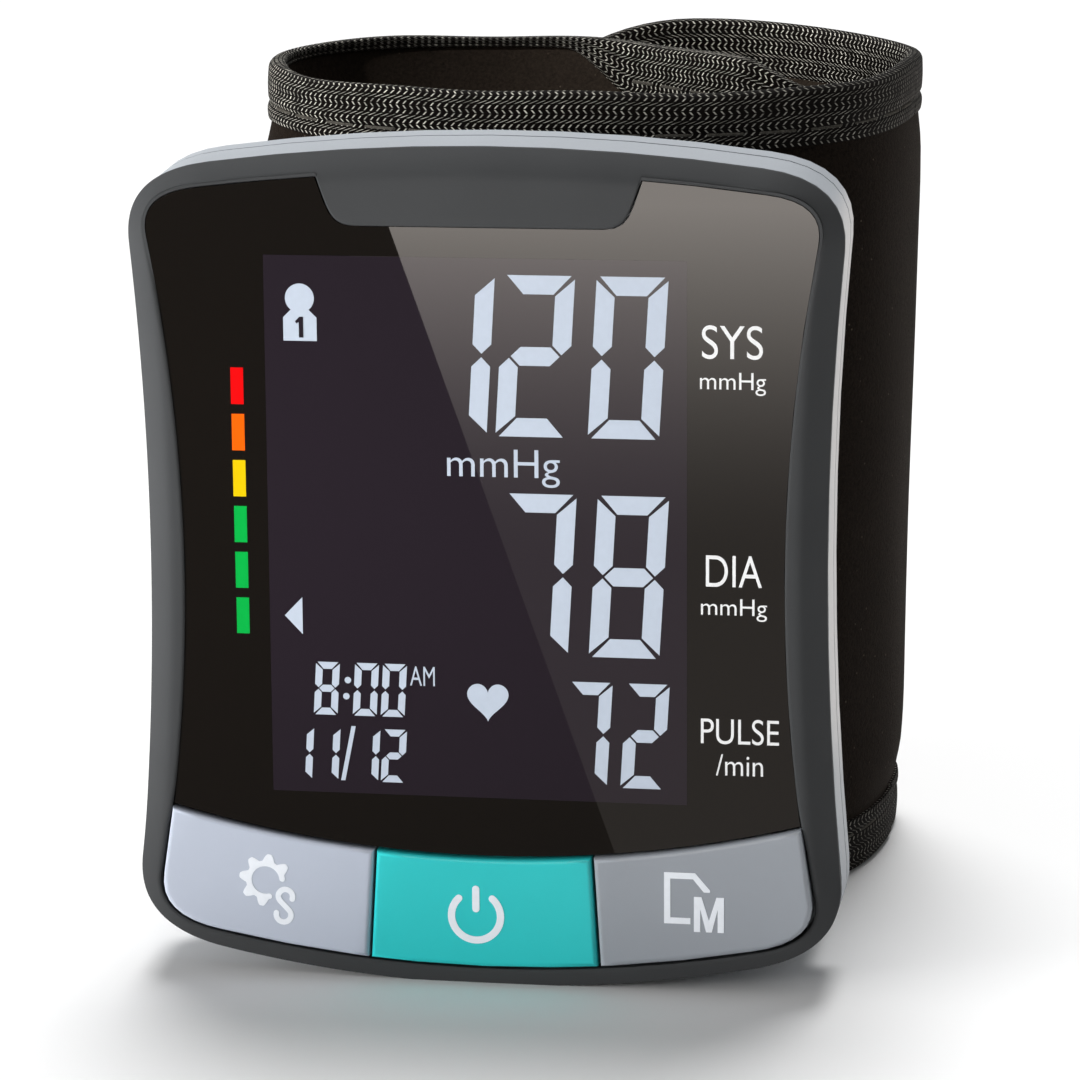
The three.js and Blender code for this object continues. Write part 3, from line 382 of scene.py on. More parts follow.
# The hourglass outline from the right end of its top edge, clockwise to the left end of that edge:
# parabolic corners, sides drawn in at the waist and a bowed foot, each tangent to the next
def hourglassRun(o, count):
    topX, topZ = o["halfTop"] - o["topCorner"], o["top"] - o["topCrown"]
    footX, footZ = o["halfBottom"] - o["bottomCorner"], o["bottom"] + o["bottomCrown"]
    high, low = topZ - o["topCorner"], footZ + o["bottomCorner"]
    middle = (high + low) / 2
    pull = 2 * o["halfWaist"] - (o["halfTop"] + o["halfBottom"]) / 2
    topBend = topZ - 2 * o["topCrown"] / topX * o["topCorner"]
    footBend = footZ + 2 * o["bottomCrown"] / footX * o["bottomCorner"]
    topOut = o["halfTop"] + (o["halfTop"] - pull) / (high - middle) * (topBend - high)
    footOut = o["halfBottom"] + (o["halfBottom"] - pull) / (middle - low) * (low - footBend)
    chain = [(topX, topZ), (topOut, topBend), (o["halfTop"], high), (pull, middle), (o["halfBottom"], low),
             (footOut, footBend), (footX, footZ), (0, o["bottom"] - o["bottomCrown"])]
    chain += [(-x, z) for x, z in chain[-2::-1]]
    return np.concatenate([quadratic(*chain[k:k + 3], count) for k in range(0, len(chain) - 2, 2)])


# Height of an outline's bowed top edge at x
def topEdge(o, x):
    return o["top"] - o["topCrown"] * (x / (o["halfTop"] - o["topCorner"])) ** 2


# The rim's section at each point of the outline: up from its back edge, over a shoulder that falls by a power
# of 1.5 of the way left in its round, level, then a quarter circle, a thin lip and the inner wall
def buildBezel():
    b = bezel
    neck = b["tabHalf"] - b["tabTaper"] / 3
    corner = b["tabHalf"] - b["tabTaper"]
    shoulder = topEdge(opening, b["tabHalf"])
    fall = cubic((-b["tabHalf"], shoulder), (-neck, shoulder - b["tabPull"]), (-neck, b["tabFoot"]),
                 (-corner, b["tabFoot"]), 15)
    foot = np.stack([np.linspace(-corner, corner, 8), np.full(8, b["tabFoot"])], 1)
    tab = np.concatenate([fall, foot[1:-1], (fall * (-1, 1))[::-1]])
    rings = []
    for o, top in ((face, np.stack([tab[:, 0], topEdge(face, tab[:, 0])], 1)), (opening, tab)):
        reach = o["halfTop"] - o["topCorner"]
        left = np.linspace(-reach, -b["tabHalf"], 10, endpoint=False)
        side = np.stack([left, topEdge(o, left)], 1)
        rings.append(np.concatenate([side, top, (side * (-1, 1))[:0:-1], hourglassRun(o, b["stretch"])]))
    outer, inner = rings
    wide = np.linalg.norm(inner - outer, axis=1)[:, None]
    lip = b["lip"] * eased(inner[:, 1], *b["lipFoot"])[:, None]
    flat = wide + lip - b["innerRound"]
    drop = b["footDrop"] + (b["drop"] - b["footDrop"]) * eased(outer[:, 1], *b["footRun"])[:, None]
    level = lambda d: drop * np.clip(1 - d / b["round"], 0, 1) ** 1.5 - b["rise"]
    over = flat * (1 - np.cos(np.linspace(0, np.pi / 2, 14)))[None, :]
    curl = np.linspace(0, np.pi / 2, 6)[None, 1:]
    inward = flat + b["innerRound"] * np.sin(curl)
    zero = np.zeros_like(wide)
    distance = np.concatenate([zero, over, inward, wide + lip, wide, wide], 1)
    depth = np.concatenate([zero + b["back"], level(over), level(flat) + b["innerDrop"] * (1 - np.cos(curl)),
                            zero - b["lipRise"], zero - b["lipRise"] / 2, zero + b["innerBack"]], 1)
    across = outer[:, None] + (inner - outer)[:, None] * (distance / wide)[..., None]
    points = np.stack([across[..., 0], depth, np.maximum(across[..., 1], floorAt(depth))], -1)
    rows, columns = points.shape[:2]
    return makePiece("bezel_rim", points, gridQuads(rows, columns, True, True), greyAbs)


bezelRim = buildBezel()
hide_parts("front_bezel")
print("bezel ready")


# Display and prints: flat shapes on the window, given in face millimetres (x, z)
inkDepth = 0.03


# Flat polygons given a little thickness in front of a face at depth y
def inkPiece(name, polygons, material, y, body="monitor"):
    points, faces, start = [], [], 0
    for polygon in polygons:
        polygon = np.asarray(polygon, float)
        count = len(polygon)
        area = np.sum(polygon[:, 0] * np.roll(polygon[:, 1], -1) - polygon[:, 1] * np.roll(polygon[:, 0], -1))
        polygon = polygon if area > 0 else polygon[::-1]
        for depth in (y - inkDepth, y):
            points.append(np.stack([polygon[:, 0], np.full(count, depth), polygon[:, 1]], 1))
        ring = np.arange(count)
        after = (ring + 1) % count
        faces.append(start + ring)
        faces.append(start + count + ring[::-1])
        faces += list(start + np.stack([after, ring, ring + count, after + count], 1))
        start += 2 * count
    return makePiece(name, np.concatenate(points), faces, material, body)


# Points of an arc over a sweep of angles, in degrees
def arcPath(x, z, radius, start, end, count=40):
    t = np.radians(np.linspace(start, end, count))
    return np.stack([x + radius * np.cos(t), z + radius * np.sin(t)], 1)


# A line of one width with round ends
def strokeShape(path, width, steps=8):
    path = np.asarray(path, float)
    ahead = np.gradient(path, axis=0)
    ahead /= np.linalg.norm(ahead, axis=1)[:, None]
    side = np.stack([-ahead[:, 1], ahead[:, 0]], 1) * width / 2
    t = np.pi * np.linspace(0, 1, steps + 2)[1:-1, None]
    cap = lambda k, turn: path[k] + turn * (np.cos(t) * side[k] + np.sin(t) * ahead[k] * width / 2)
    return np.concatenate([path + side, cap(-1, 1), (path - side)[::-1], cap(0, -1)])


# One digit of seven bars: mitred level bars, pointed upright bars, all leaned by the slant
def digitShapes(digit, x, z, width, height, stroke, gap, slant=math.tan(math.radians(3.5))):
    s, g, half = stroke, gap / 2, height / 2
    level = np.array([(2 * g, 0), (width - 2 * g, 0), (width - s - g, s), (s + g, s)])
    upright = np.array([(0, 2 * g), (s, s + g), (s, half - s / 2 - g), (s / 2, half - g),
                        (0, half - s / 2 - g)])
    middle = np.array([(s / 2 + g, half), (s + g, half + s / 2), (width - s - g, half + s / 2),
                       (width - s / 2 - g, half), (width - s - g, half - s / 2), (s + g, half - s / 2)])
    flipX = lambda p: np.stack([width - p[:, 0], p[:, 1]], 1)
    flipZ = lambda p: np.stack([p[:, 0], height - p[:, 1]], 1)
    bars = {"a": flipZ(level), "b": flipZ(flipX(upright)), "c": flipX(upright), "d": level, "e": upright,
            "f": flipZ(upright), "g": middle}
    lit = {"0": "abcdef", "1": "bc", "2": "abged", "7": "abc", "8": "abcdefg"}[digit]
    return [np.stack([x + bars[k][:, 0] + slant * bars[k][:, 1], z + bars[k][:, 1]], 1) for k in lit]


# Letters as a flat mesh, stretched into a box (x0, z0, x1, z1) and set in front of a face at depth y
def letterPiece(name, text, box, material, y):
    curve = bpy.data.curves.new(name, "FONT")
    curve.body = text
    curve.extrude = 0.5
    curve.offset = -0.004  # a little thinner than the font draws them
    draft = addObject(name + "_draft", curve)
    bpy.context.view_layer.update()
    flat = bpy.data.meshes.new_from_object(draft.evaluated_get(bpy.context.evaluated_depsgraph_get()))
    bpy.data.objects.remove(draft)
    place = meshPoints(flat)
    faces = [list(polygon.vertices) for polygon in flat.polygons]
    bpy.data.meshes.remove(flat)
    low, high = place.min(0), place.max(0)
    share = (place - low) / (high - low)
    x = box[0] + share[:, 0] * (box[2] - box[0])
    z = box[1] + share[:, 1] * (box[3] - box[1])
    return makePiece(name, np.stack([x, y - inkDepth * share[:, 2], z], 1), faces, material)


display = {  # places on the window, in face millimetres; boxes are (x0, z0, x1, z1)
    "film": (-18.7, 17.06, 17.86, 64.35),
    "digits": [  # text, left of each cell, foot, cell width, height, bar width, gap
        ("120", (-5.54, 1.36, 9.34), 49.05, 6.13, 13.9, 1.62, 0.3),
        ("78", (1.38, 9.34), 29.95, 6.13, 14.15, 1.62, 0.3),
        ("72", (7.1, 12.05), 18.4, 3.76, 9.3, 1.12, 0.22),
        ("800", (-14.96, -11.49, -9.01), 24.04, 2.12, 4.72, 0.62, 0.14),
        ("1112", (-17.35, -15.0, -11.45, -9.09), 18.15, 2.12, 4.75, 0.62, 0.14),
    ],
    "heart": (0.49, 25.85), "heartHalf": (1.82, 1.86), "unit": (-2.87, 44.67, 6.92, 47.91),
    "noon": (-6.36, 26.9, -4.17, 28.61), "colon": ((-11.87, 27.19), (-12.03, 25.75)), "dot": 0.29,
    "slash": [(-12.62, 18.18), (-12.24, 18.18), (-11.24, 23.08), (-11.62, 23.08)],
    "arrow": [(-17.38, 32.81), (-15.8, 34.46), (-15.8, 31.17)],
    "head": (-15.57, 60.65, 1.27),
    "chest": [(-17.03, 58.98), (-17.03, 56.96), (-14.1, 56.96), (-14.1, 58.98)],
    "one": [(-15.66, 57.25), (-15.28, 57.25), (-15.28, 59.05), (-15.6, 59.05), (-15.98, 58.65),
            (-15.86, 58.45), (-15.66, 58.6)],
    "barLeft": -21.78, "barWidth": 1.12, "barHeight": 3.2, "barFoot": 31.08, "barStep": 4.05,
    "barShift": 0.11,
}
labels = {
    "label_upper": ("SYS", (19.13, 56.08, 24.31, 58.96)),
    "label_upper_unit": ("mmHg", (18.97, 53.01, 24.58, 54.95)),
    "label_lower": ("DIA", (19.49, 36.43, 24.3, 39.17)),
    "label_lower_unit": ("mmHg", (19.07, 33.48, 24.74, 35.4)),
    "label_rate": ("PULSE", (19.07, 22.61, 25.82, 24.85)),
    "label_rate_unit": ("/min", (20.38, 19.82, 24.45, 21.71)),
}


# Corners of an upright box, counter-clockwise
def rectangle(x0, z0, x1, z1):
    return [(x0, z0), (x1, z0), (x1, z1), (x0, z1)]


# Film, lit signs, the column of colour bars and the captions beside the display
def buildDisplay():
    d = display
    inkPiece("display_film", [rectangle(*d["film"])], displayFilm, 0.0)
    top = -inkDepth
    signs = []
    for text, lefts, foot, width, height, stroke, gap in d["digits"]:
        for digit, left in zip(text, lefts):
            signs += digitShapes(digit, left, foot, width, height, stroke, gap)
    # The heart is the curve x = 16 sin^3 t with four cosines for its height, 32 wide before it is scaled
    t = np.linspace(0, 2 * np.pi, 60, endpoint=False)
    rise = 13 * np.cos(t) - 5 * np.cos(2 * t) - 2 * np.cos(3 * t) - np.cos(4 * t)
    halfWidth, halfHeight = d["heartHalf"]
    signs.append(np.stack([16 * np.sin(t) ** 3, rise], 1) * (halfWidth / 16, halfHeight / 16) + d["heart"])
    signs += [d["arrow"], d["slash"]]
    signs += [arcPath(*place, d["dot"], 0, 337.5, 16) for place in d["colon"]]
    signs.append(np.concatenate([arcPath(*d["head"], -52, 232, 30), d["chest"]]))
    inkPiece("display_segments", signs, segmentLight, top)
    letterPiece("display_unit", "mmHg", d["unit"], segmentLight, top)
    letterPiece("display_noon", "AM", d["noon"], segmentLight, top)
    inkPiece("display_user", [d["one"]], darkInk, 2 * top)
    for k, ink in enumerate(reversed(barInks)):
        left = d["barLeft"] + d["barShift"] * (5 - k) / 5
        foot = d["barFoot"] + d["barStep"] * k
        bar = rectangle(left, foot, left + d["barWidth"], foot + d["barHeight"])
        inkPiece("level_bar_" + str(6 - k), [bar], ink, 0.0)
    for name, (text, box) in labels.items():
        letterPiece(name, text, box, labelInk, 0.0)


buildDisplay()
print("display ready")

buttonIcons = {
    "front": -0.6, "line": 0.55, "gear": (-19.45, 9.0), "gearOuter": 2.38, "gearRoot": 1.76, "gearHole": 1.25,
    "gearTurn": 35, "gearTeeth": 8, "gearShown": 6, "gearSweep": (-4, 292),
    "upperBow": (-17.68, 7.57, 0.64), "lowerBow": (-17.88, 5.89, 0.66), "bowStroke": 0.5,
    "ring": (-0.65, 6.5), "ringRadius": 2.18, "ringSweep": (134, 408), "ringStroke": 0.64,
    "bar": (0.66, 2.44), "card": (15.94, 6.57, 19.95, 11.17), "cardFoot": 2.3, "cardCut": (1.3, 1.5),
    "cardSide": 2.9, "letter": (18.55, 5.9, 21.17, 9.05),
}


# A band whose outer edge waves once for each tooth, and which rounds off at both ends
def gearShape(b):
    first, last = np.radians(b["gearSweep"])
    t = np.linspace(first, last, 161)
    tooth = 2 * np.pi / b["gearTeeth"]
    turned = t - math.radians(b["gearTurn"])
    shown = abs(turned - (b["gearShown"] - 1) / 2 * tooth) < b["gearShown"] / 2 * tooth
    wave = np.clip(0.5 + 0.6 * np.cos(b["gearTeeth"] * turned), 0, 1) * shown
    outer = b["gearRoot"] + (b["gearOuter"] - b["gearRoot"]) * wave
    middle, half = (outer + b["gearHole"]) / 2, (outer - b["gearHole"]) / 2
    half *= np.sqrt(1 - np.clip(1 - np.minimum(t - first, last - t) * middle / half, 0, 1) ** 2)
    arc = np.stack([np.cos(t), np.sin(t)], 1)
    inside = arc * (middle - half)[:, None]
    return np.concatenate([arc * (middle + half)[:, None], inside[-2:0:-1]]) + b["gear"]


# Signs on the three buttons, drawn as strokes and outlines
def buildIcons():
    b = buttonIcons
    y = b["front"]
    inkPiece("gear_icon", [gearShape(b)], iconInk, y, "set_button")
    bows = np.concatenate([arcPath(*b["upperBow"], -20, 228), arcPath(*b["lowerBow"], 48, -195)])
    inkPiece("set_letter", [strokeShape(bows, b["bowStroke"])], iconInk, y, "set_button")
    x, z = b["ring"]
    ring = strokeShape(arcPath(x, z, b["ringRadius"], *b["ringSweep"]), b["ringStroke"])
    bar = strokeShape([(x, z + height) for height in b["bar"]], b["ringStroke"])
    inkPiece("power_icon", [ring, bar], iconInk, y, "power_button")
    (x0, z0, x1, z1), foot, side, w = b["card"], b["cardFoot"], b["cardSide"], b["line"]
    cutX, cutZ = x1 - b["cardCut"][0], z1 - b["cardCut"][1]
    card = [(x0 + foot, z0), (x0, z0), (x0, z1), (cutX, z1), (x1, cutZ), (x1, z0 + side), (x1 - w, z0 + side),
            (x1 - w, cutZ - w / 3), (cutX - w / 3, z1 - w), (x0 + w, z1 - w), (x0 + w, z0 + w),
            (x0 + foot, z0 + w)]
    inkPiece("card_icon", [card], iconInk, y, "memory_button")
    x0, z0, x1, z1 = b["letter"]
    half = [(x0, z0), (x0, z1), (x0 + 1.2 * w, z1)]
    inside = [((x0 + x1) / 2 - 0.45 * w, z0), (x0 + w, z1 - 2 * w), (x0 + w, z0)]
    across = lambda chain: [(x0 + x1 - x, z) for x, z in chain[::-1]]
    letter = half + [((x0 + x1) / 2, z0 + 1.9 * w)] + across(half) + across(inside) + inside
    inkPiece("memory_letter", [letter], iconInk, y, "memory_button")


buildIcons()
print("button icons ready")

# Cuff: layers carried along its line, seen from above; the values repeat those of the solids
cuff = {
    "height": 74.8, "leanX": 1.8, "half": 2.65, "rimMiddle": 1.5, "rimHalf": 0.8, "sheet": 0.9, "tuck": 3.2,
    "front": 23.75, "right": (30.4, 47.55), "frontX": 3.5, "left": (-26.2, 44.55), "back": (-7.0, 56.25),
    "tongue": (23.5, 39.35), "tongueSlope": 0.22, "tongueHandle": 14.0, "rightHandle": 0.74, "handle": 0.62,
    "foldReach": 3.6, "stations": 230, "bulge": 0.45, "tapeHeight": 5.2, "tapeSheet": 0.3,
    "thin": 0.38, "pinch": 0.45, "fullFrom": 4.2, "coverFull": 9.5, "liningFull": 12.5, "groove": 3.75,
    "bare": (78, 112), "looseRun": (5, 14), "endRun": 9.0, "endDrop": 2.2, "endPinch": 0.6, "endSlot": 2.4,
}
flap = {
    "half": 1.8, "rimMiddle": 1.0, "start": (31.25, 47.85), "back": (10.0, 69.05), "end": (-14.5, 62.1),
    "endSlope": 0.2, "handle": 10.0, "round": 0.34, "corner": 24.0, "gap": 0.3, "full": 8.5, "thin": 0.08,
    "stations": 120, "hookLength": 15.0, "hookHeight": 40.0, "hookThick": 0.8,
}


# Joined cubic curves measured by their length, with the direction at each point
def measuredPath(curves):
    points = np.concatenate([cubic(*curve, 300)[(1 if k else 0):] for k, curve in enumerate(curves)])
    lengths = runLengths(points)
    directions = np.gradient(points, lengths, axis=0)
    directions /= np.linalg.norm(directions, axis=1)[:, None]
    return {"points": points, "lengths": lengths, "directions": directions, "total": lengths[-1]}


# The cuff's line from above: four cubics, from the right-hand bend by the front, the left and the back to the
# tongue
def cuffPath():
    c = cuff
    (rx, ry), (lx, ly), (bx, by), (tx, ty) = c["right"], c["left"], c["back"], c["tongue"]
    fx, fy, k, r = c["frontX"], c["front"], c["handle"], c["rightHandle"]
    return measuredPath([
        ((rx, ry), (rx, ry - r * (ry - fy)), (fx + r * (rx - fx), fy), (fx, fy)),
        ((fx, fy), (fx - k * (fx - lx), fy), (lx, ly - k * (ly - fy)), (lx, ly)),
        ((lx, ly), (lx, ly + k * (by - ly)), (bx - k * (bx - lx), by), (bx, by)),
        ((bx, by), (bx + c["tongueHandle"], by),
         (tx - c["tongueHandle"], ty + c["tongueSlope"] * c["tongueHandle"]), (tx, ty)),
    ])


# The flap's line from above: a cubic from the right-hand bend to the back and one on to its free end
def flapPath():
    f = flap
    (sx, sy), (bx, by), (ex, ey) = f["start"], f["back"], f["end"]
    k, h = f["round"], f["handle"]
    return measuredPath([
        ((sx, sy), (sx, sy + k * (by - sy)), (bx + k * (sx - bx), by), (bx, by)),
        ((bx, by), (bx - h, by), (ex + h, ey + f["endSlope"] * h), (ex, ey)),
    ])


cuffRun = cuffPath()
flapRun = flapPath()


# Points of a wall: distance along the path, offset square to it and height above the floor
def wallPoints(path, along, offset, height, outside):
    along, offset, height = np.broadcast_arrays(along, offset, height)
    look = lambda values: np.interp(along, path["lengths"], values)
    px, py = look(path["points"][:, 0]), look(path["points"][:, 1])
    dx, dy = look(path["directions"][:, 0]), look(path["directions"][:, 1])
    past = np.maximum(along - path["total"], 0)
    x = px - outside * dy * offset + past * dx
    y = py + outside * dx * offset + past * dy
    lean = cuff["leanX"] * (height / cuff["height"] - 0.5)
    return np.stack([x + lean, y, floorAt(y) + height], -1)


# Soft unevenness of sewn padding, a sum of long waves, held back where the case carries the cuff
def slack(along, height):
    wave = 0.16 * np.sin(along / 5.3 + height / 17) + 0.12 * np.sin(along / 3.1 - height / 11 + 1.3)
    wave = wave + 0.1 * np.sin(along / 9.7 + height / 6.1 + 0.6)
    depth = np.interp(along, cuffRun["lengths"], cuffRun["points"][:, 1])
    return wave * eased(depth, 27, 36)


# A closed ring of (offset, height) points, up one face and down the other
def twoFaces(outer, inner, heights):
    return np.concatenate([np.stack([outer, heights], 1), np.stack([inner, heights], 1)[::-1]])


# A padded layer's ring: pressed thin inside the tapes, full a little way in
def padRing(sign, count=44):
    c = cuff
    rise = 0.5 - 0.5 * np.cos(np.linspace(0, np.pi, count))
    heights = c["tuck"] + (c["height"] - 2 * c["tuck"]) * rise
    inside = np.minimum(heights, c["height"] - heights)
    full = eased(inside, c["fullFrom"], c["coverFull"] if sign > 0 else c["liningFull"])
    pinched = c["rimMiddle"] + sign * c["pinch"]
    outer = pinched + (sign * c["half"] - pinched) * full
    return twoFaces(outer, outer - sign * (c["thin"] + (c["sheet"] - c["thin"]) * full), heights)


# Folded tape over an edge, as (offset, distance below the edge): a full upper band, a sewn groove and a
# narrow lower band on both sides, round the fold, and the slot that holds the layers
def tapeRing(middle):
    half, height, sheet = cuff["rimHalf"], cuff["tapeHeight"], cuff["tapeSheet"]
    drop = np.linspace(height, half, 24)
    groove = -0.16 * np.exp(-((drop - cuff["groove"]) / 0.26) ** 2)
    upperBand = 0.06 * np.sin(np.pi * np.clip((3.6 - drop) / 2.8, 0, 1))
    lowerBand = 0.08 * np.sin(np.pi * np.clip((drop - 3.9) / 1.3, 0, 1))
    outside = np.stack([half + groove + upperBand + lowerBand, drop], 1)
    t = np.linspace(0, np.pi, 13)[1:-1]
    over = np.stack([half * np.cos(t), half - half * np.sin(t)], 1)
    slot = np.array([(-1, height), (-1, 1.2), (1, 1.2), (1, height)]) * (half - sheet, 1)
    return np.concatenate([outside, over, (outside * (-1, 1))[::-1], slot]) + (middle, 0)


# Texture places for a ring carried along: u is the distance along, v the distance round the ring
def clothUv(along, ring):
    u, v = np.meshgrid(along, runLengths(np.concatenate([ring, ring[:1]])), indexing="ij")
    return np.stack([u, v], -1)


# How far the right-hand bend swells under the upper tape, where the padding stands out most
def rightSwell(along, height):
    return cuff["bulge"] * np.exp(-((along - 6) / 12) ** 2) * eased(height, 30, 58) * eased(-height, -70, -62)


# Share of the tape's inner leaf that is cut back, from the left bend to the middle of the back, where the
# lining comes up to the edge
def bareBack(along):
    start, end = cuff["bare"]
    return 0.8 * eased(along, start - 6, start) * eased(-along, -end - 8, -end)


# How far the tongue's upper edge has closed, over its last few millimetres
def tongueClose(along):
    return eased(along, cuffRun["total"] - cuff["endRun"], cuffRun["total"])


# A padded ring carried along the cuff: loosened by the slack, swollen at the bend, pinched at the tongue
def cuffLayer(name, ring, material, start, end, swell=0.0, raised=0.0):
    along = np.linspace(start, end, cuff["stations"])
    a, offset, height = along[:, None], ring[:, 0], ring[:, 1]
    height = height + raised * bareBack(a) * eased(height, 58, cuff["height"] - cuff["tuck"])
    loose = eased(np.minimum(height, cuff["height"] - height), *cuff["looseRun"])
    offset = offset + loose * slack(a, height) + swell * loose * rightSwell(a, height)
    close = tongueClose(a) * eased(height, cuff["height"] - 14, cuff["height"] - 5)
    offset = offset - cuff["endPinch"] * close * (offset - cuff["rimMiddle"])
    height = height - cuff["endDrop"] * close
    return makeTube(name, wallPoints(cuffRun, a, offset, height, 1), material, uv=clothUv(along, ring))


# The upper edge rises and falls a little between stitches
def tapeSway(along):
    return 0.1 * np.sin(along / 2.9) + 0.08 * np.sin(along / 6.7 + 1)


# A tape along one edge of the cuff; the upper one is cut back inside and closes at the tongue's end
def tapeLayer(name, upper):
    ring = tapeRing(cuff["rimMiddle"])
    along = np.linspace(cuff["foldReach"], cuffRun["total"], cuff["stations"])
    a, k, side, drop = along[:, None], np.arange(len(ring)), ring[:, 0], ring[:, 1]
    close = tongueClose(a) if upper else 0 * a
    if upper:
        short = np.where(side < cuff["rimMiddle"], bareBack(a), 0)
        sway = tapeSway(a) * (1 - drop / cuff["tapeHeight"])
        drop = drop * (1 - short) - sway + cuff["endDrop"] * close
    slotTop = (k == len(ring) - 3) | (k == len(ring) - 2)
    drop = drop + cuff["endSlot"] * close * slotTop
    height = cuff["height"] - drop if upper else drop
    offset = side - cuff["endPinch"] * close * (side - cuff["rimMiddle"])
    points = wallPoints(cuffRun, a, offset + 0.5 * slack(a, height), height, 1)
    return makeTube(name, points, bindingTape, uv=clothUv(along, ring))


reach = cuff["foldReach"]
cover = cuffLayer("cuff_cover_cloth", padRing(1), velour, reach, cuffRun["total"], swell=1.0)
lining = cuffLayer("cuff_lining_cloth", padRing(-1), liningCloth, reach, cuffRun["total"], raised=3.0)
upperTape = tapeLayer("upper_tape", True)
lowerTape = tapeLayer("lower_tape", False)
for piece, node, slot in ((cover, "cuff_cover", "velour"), (lining, "cuff_lining", "velour"),
                          (upperTape, "upper_binding", "knit_tape"),
                          (lowerTape, "lower_binding", "knit_tape")):
    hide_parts(node)
print("cuff ready, line", round(cuffRun["total"], 1), "mm")

# Bladder: a flat welded bag with pinched edges, inside the cuff
bladder = {"outer": 0.35, "inner": -1.15, "low": 13.0, "high": 61.8, "from": 0.08, "short": 13.0}


# Its half thickness goes with the root of one less a sixth power, so it thins only near its welds
def buildBladder():
    b = bladder
    rise = np.linspace(0, 1, 15)
    heights = b["low"] + (b["high"] - b["low"]) * (0.5 - 0.5 * np.cos(np.pi * rise))
    middle, half = (b["outer"] + b["inner"]) / 2, (b["outer"] - b["inner"]) / 2
    swell = half * (0.25 + 0.75 * np.sqrt(np.clip(1 - (2 * rise - 1) ** 6, 0, 1)))
    ring = twoFaces(middle + swell, middle - swell, heights)
    along = np.linspace(cuffRun["total"] * b["from"], cuffRun["total"] - b["short"], 90)
    points = wallPoints(cuffRun, along[:, None], ring[:, 0], ring[:, 1], 1)
    return makeTube("bladder_bag", points, bladderFilm)


bladderBag = buildBladder()
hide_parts("air_bladder")

# Sewing thread: a thin cord that dips into the tape at each stitch
stitch = {"pitch": 4.4, "radius": 0.17, "inset": 0.2, "dip": 0.2, "step": 0.22}


# A circle carried along the groove, sinking below the tape by a cosine at each needle hole
def stitchLine(name, upper, side, start, end):
    s = stitch
    along = np.arange(start, end, s["step"])[:, None]
    sink = s["dip"] * np.clip(np.cos(2 * np.pi * along / s["pitch"]) * 2 - 1, 0, 1) * 2
    offset = cuff["rimMiddle"] + side * (cuff["rimHalf"] - s["inset"] - sink)
    height = cuff["height"] - cuff["groove"] if upper else cuff["groove"]
    t = np.linspace(0, 2 * np.pi, 8, endpoint=False)
    points = wallPoints(cuffRun, along, offset + s["radius"] * np.cos(t), height + s["radius"] * np.sin(t), 1)
    return makeTube(name, points, sewingThread)


# Each seam: upper or lower edge, outer (1) or inner (-1) leaf, where it starts and where it ends
bareStart, bareEnd = cuff["bare"]
closing = cuffRun["total"] - cuff["endRun"]
seamStart, seamEnd = reach + 0.3, cuffRun["total"] - 0.6
seams = [(True, 1, seamStart, closing), (True, -1, seamStart, bareStart - 5),
         (True, -1, bareEnd + 8, closing), (False, 1, seamStart, seamEnd), (False, -1, seamStart, seamEnd)]
for k, seam in enumerate(seams):
    stitchLine("cuff_stitch_" + str(k + 1), *seam)


# Flap: cover and lining between a tape that runs round the free end

# How far the edge has come in, at a distance from the end, for a corner of a given radius
def cornerDrop(left, radius):
    short = np.maximum(radius - np.maximum(left, 0), 0)
    return radius - np.sqrt(radius ** 2 - short ** 2)


# Lowest height of the flap's cloth, under the tape, at a distance along
def flapFoot(along):
    edge = cuff["tuck"]
    return edge + cornerDrop(flapRun["total"] - edge - along, flap["corner"] - edge)


# Places of one layer's outer and inner face, as on the cuff but with the layers nearly touching
def flapFaces(sign, along, heights):
    f = flap
    end = flapRun["total"] - cuff["tuck"]
    side = np.minimum(heights, cuff["height"] - heights) - flapFoot(along)
    inside = cuff["tuck"] + np.minimum(side, end - along)
    full = eased(inside, cuff["fullFrom"], f["full"])
    pinched, thin = f["rimMiddle"] + sign * cuff["pinch"], f["rimMiddle"] + sign * f["thin"]
    outer = pinched + (sign * f["half"] - pinched) * full
    outer = outer + 0.12 * np.sin(along / 5.1 + heights / 13) * eased(inside, 6, 14)
    return outer, thin + (sign * f["gap"] / 2 - thin) * full


# A closed sheet on the flap between two faces, given as grids of distance along, height and offset
def flapSheet(name, along, heights, outer, inner, material):
    points = [wallPoints(flapRun, along, offset, heights, -1) for offset in (outer, inner)]
    return makeTube(name, np.concatenate([points[0], points[1][:, ::-1]], 1), material, "flap")


# One layer of the flap: stations closer together towards the free end, heights spaced by a cosine
def flapLayer(name, sign, material):
    end = flapRun["total"] - cuff["tuck"]
    along = reach + (end - reach) * (1 - (1 - np.linspace(0, 1, flap["stations"])) ** 1.5)[:, None]
    low = flapFoot(along)
    heights = low + (cuff["height"] - 2 * low) * (0.5 - 0.5 * np.cos(np.linspace(0, np.pi, 34)))
    return flapSheet(name, along, heights, *flapFaces(sign, along, heights), material)


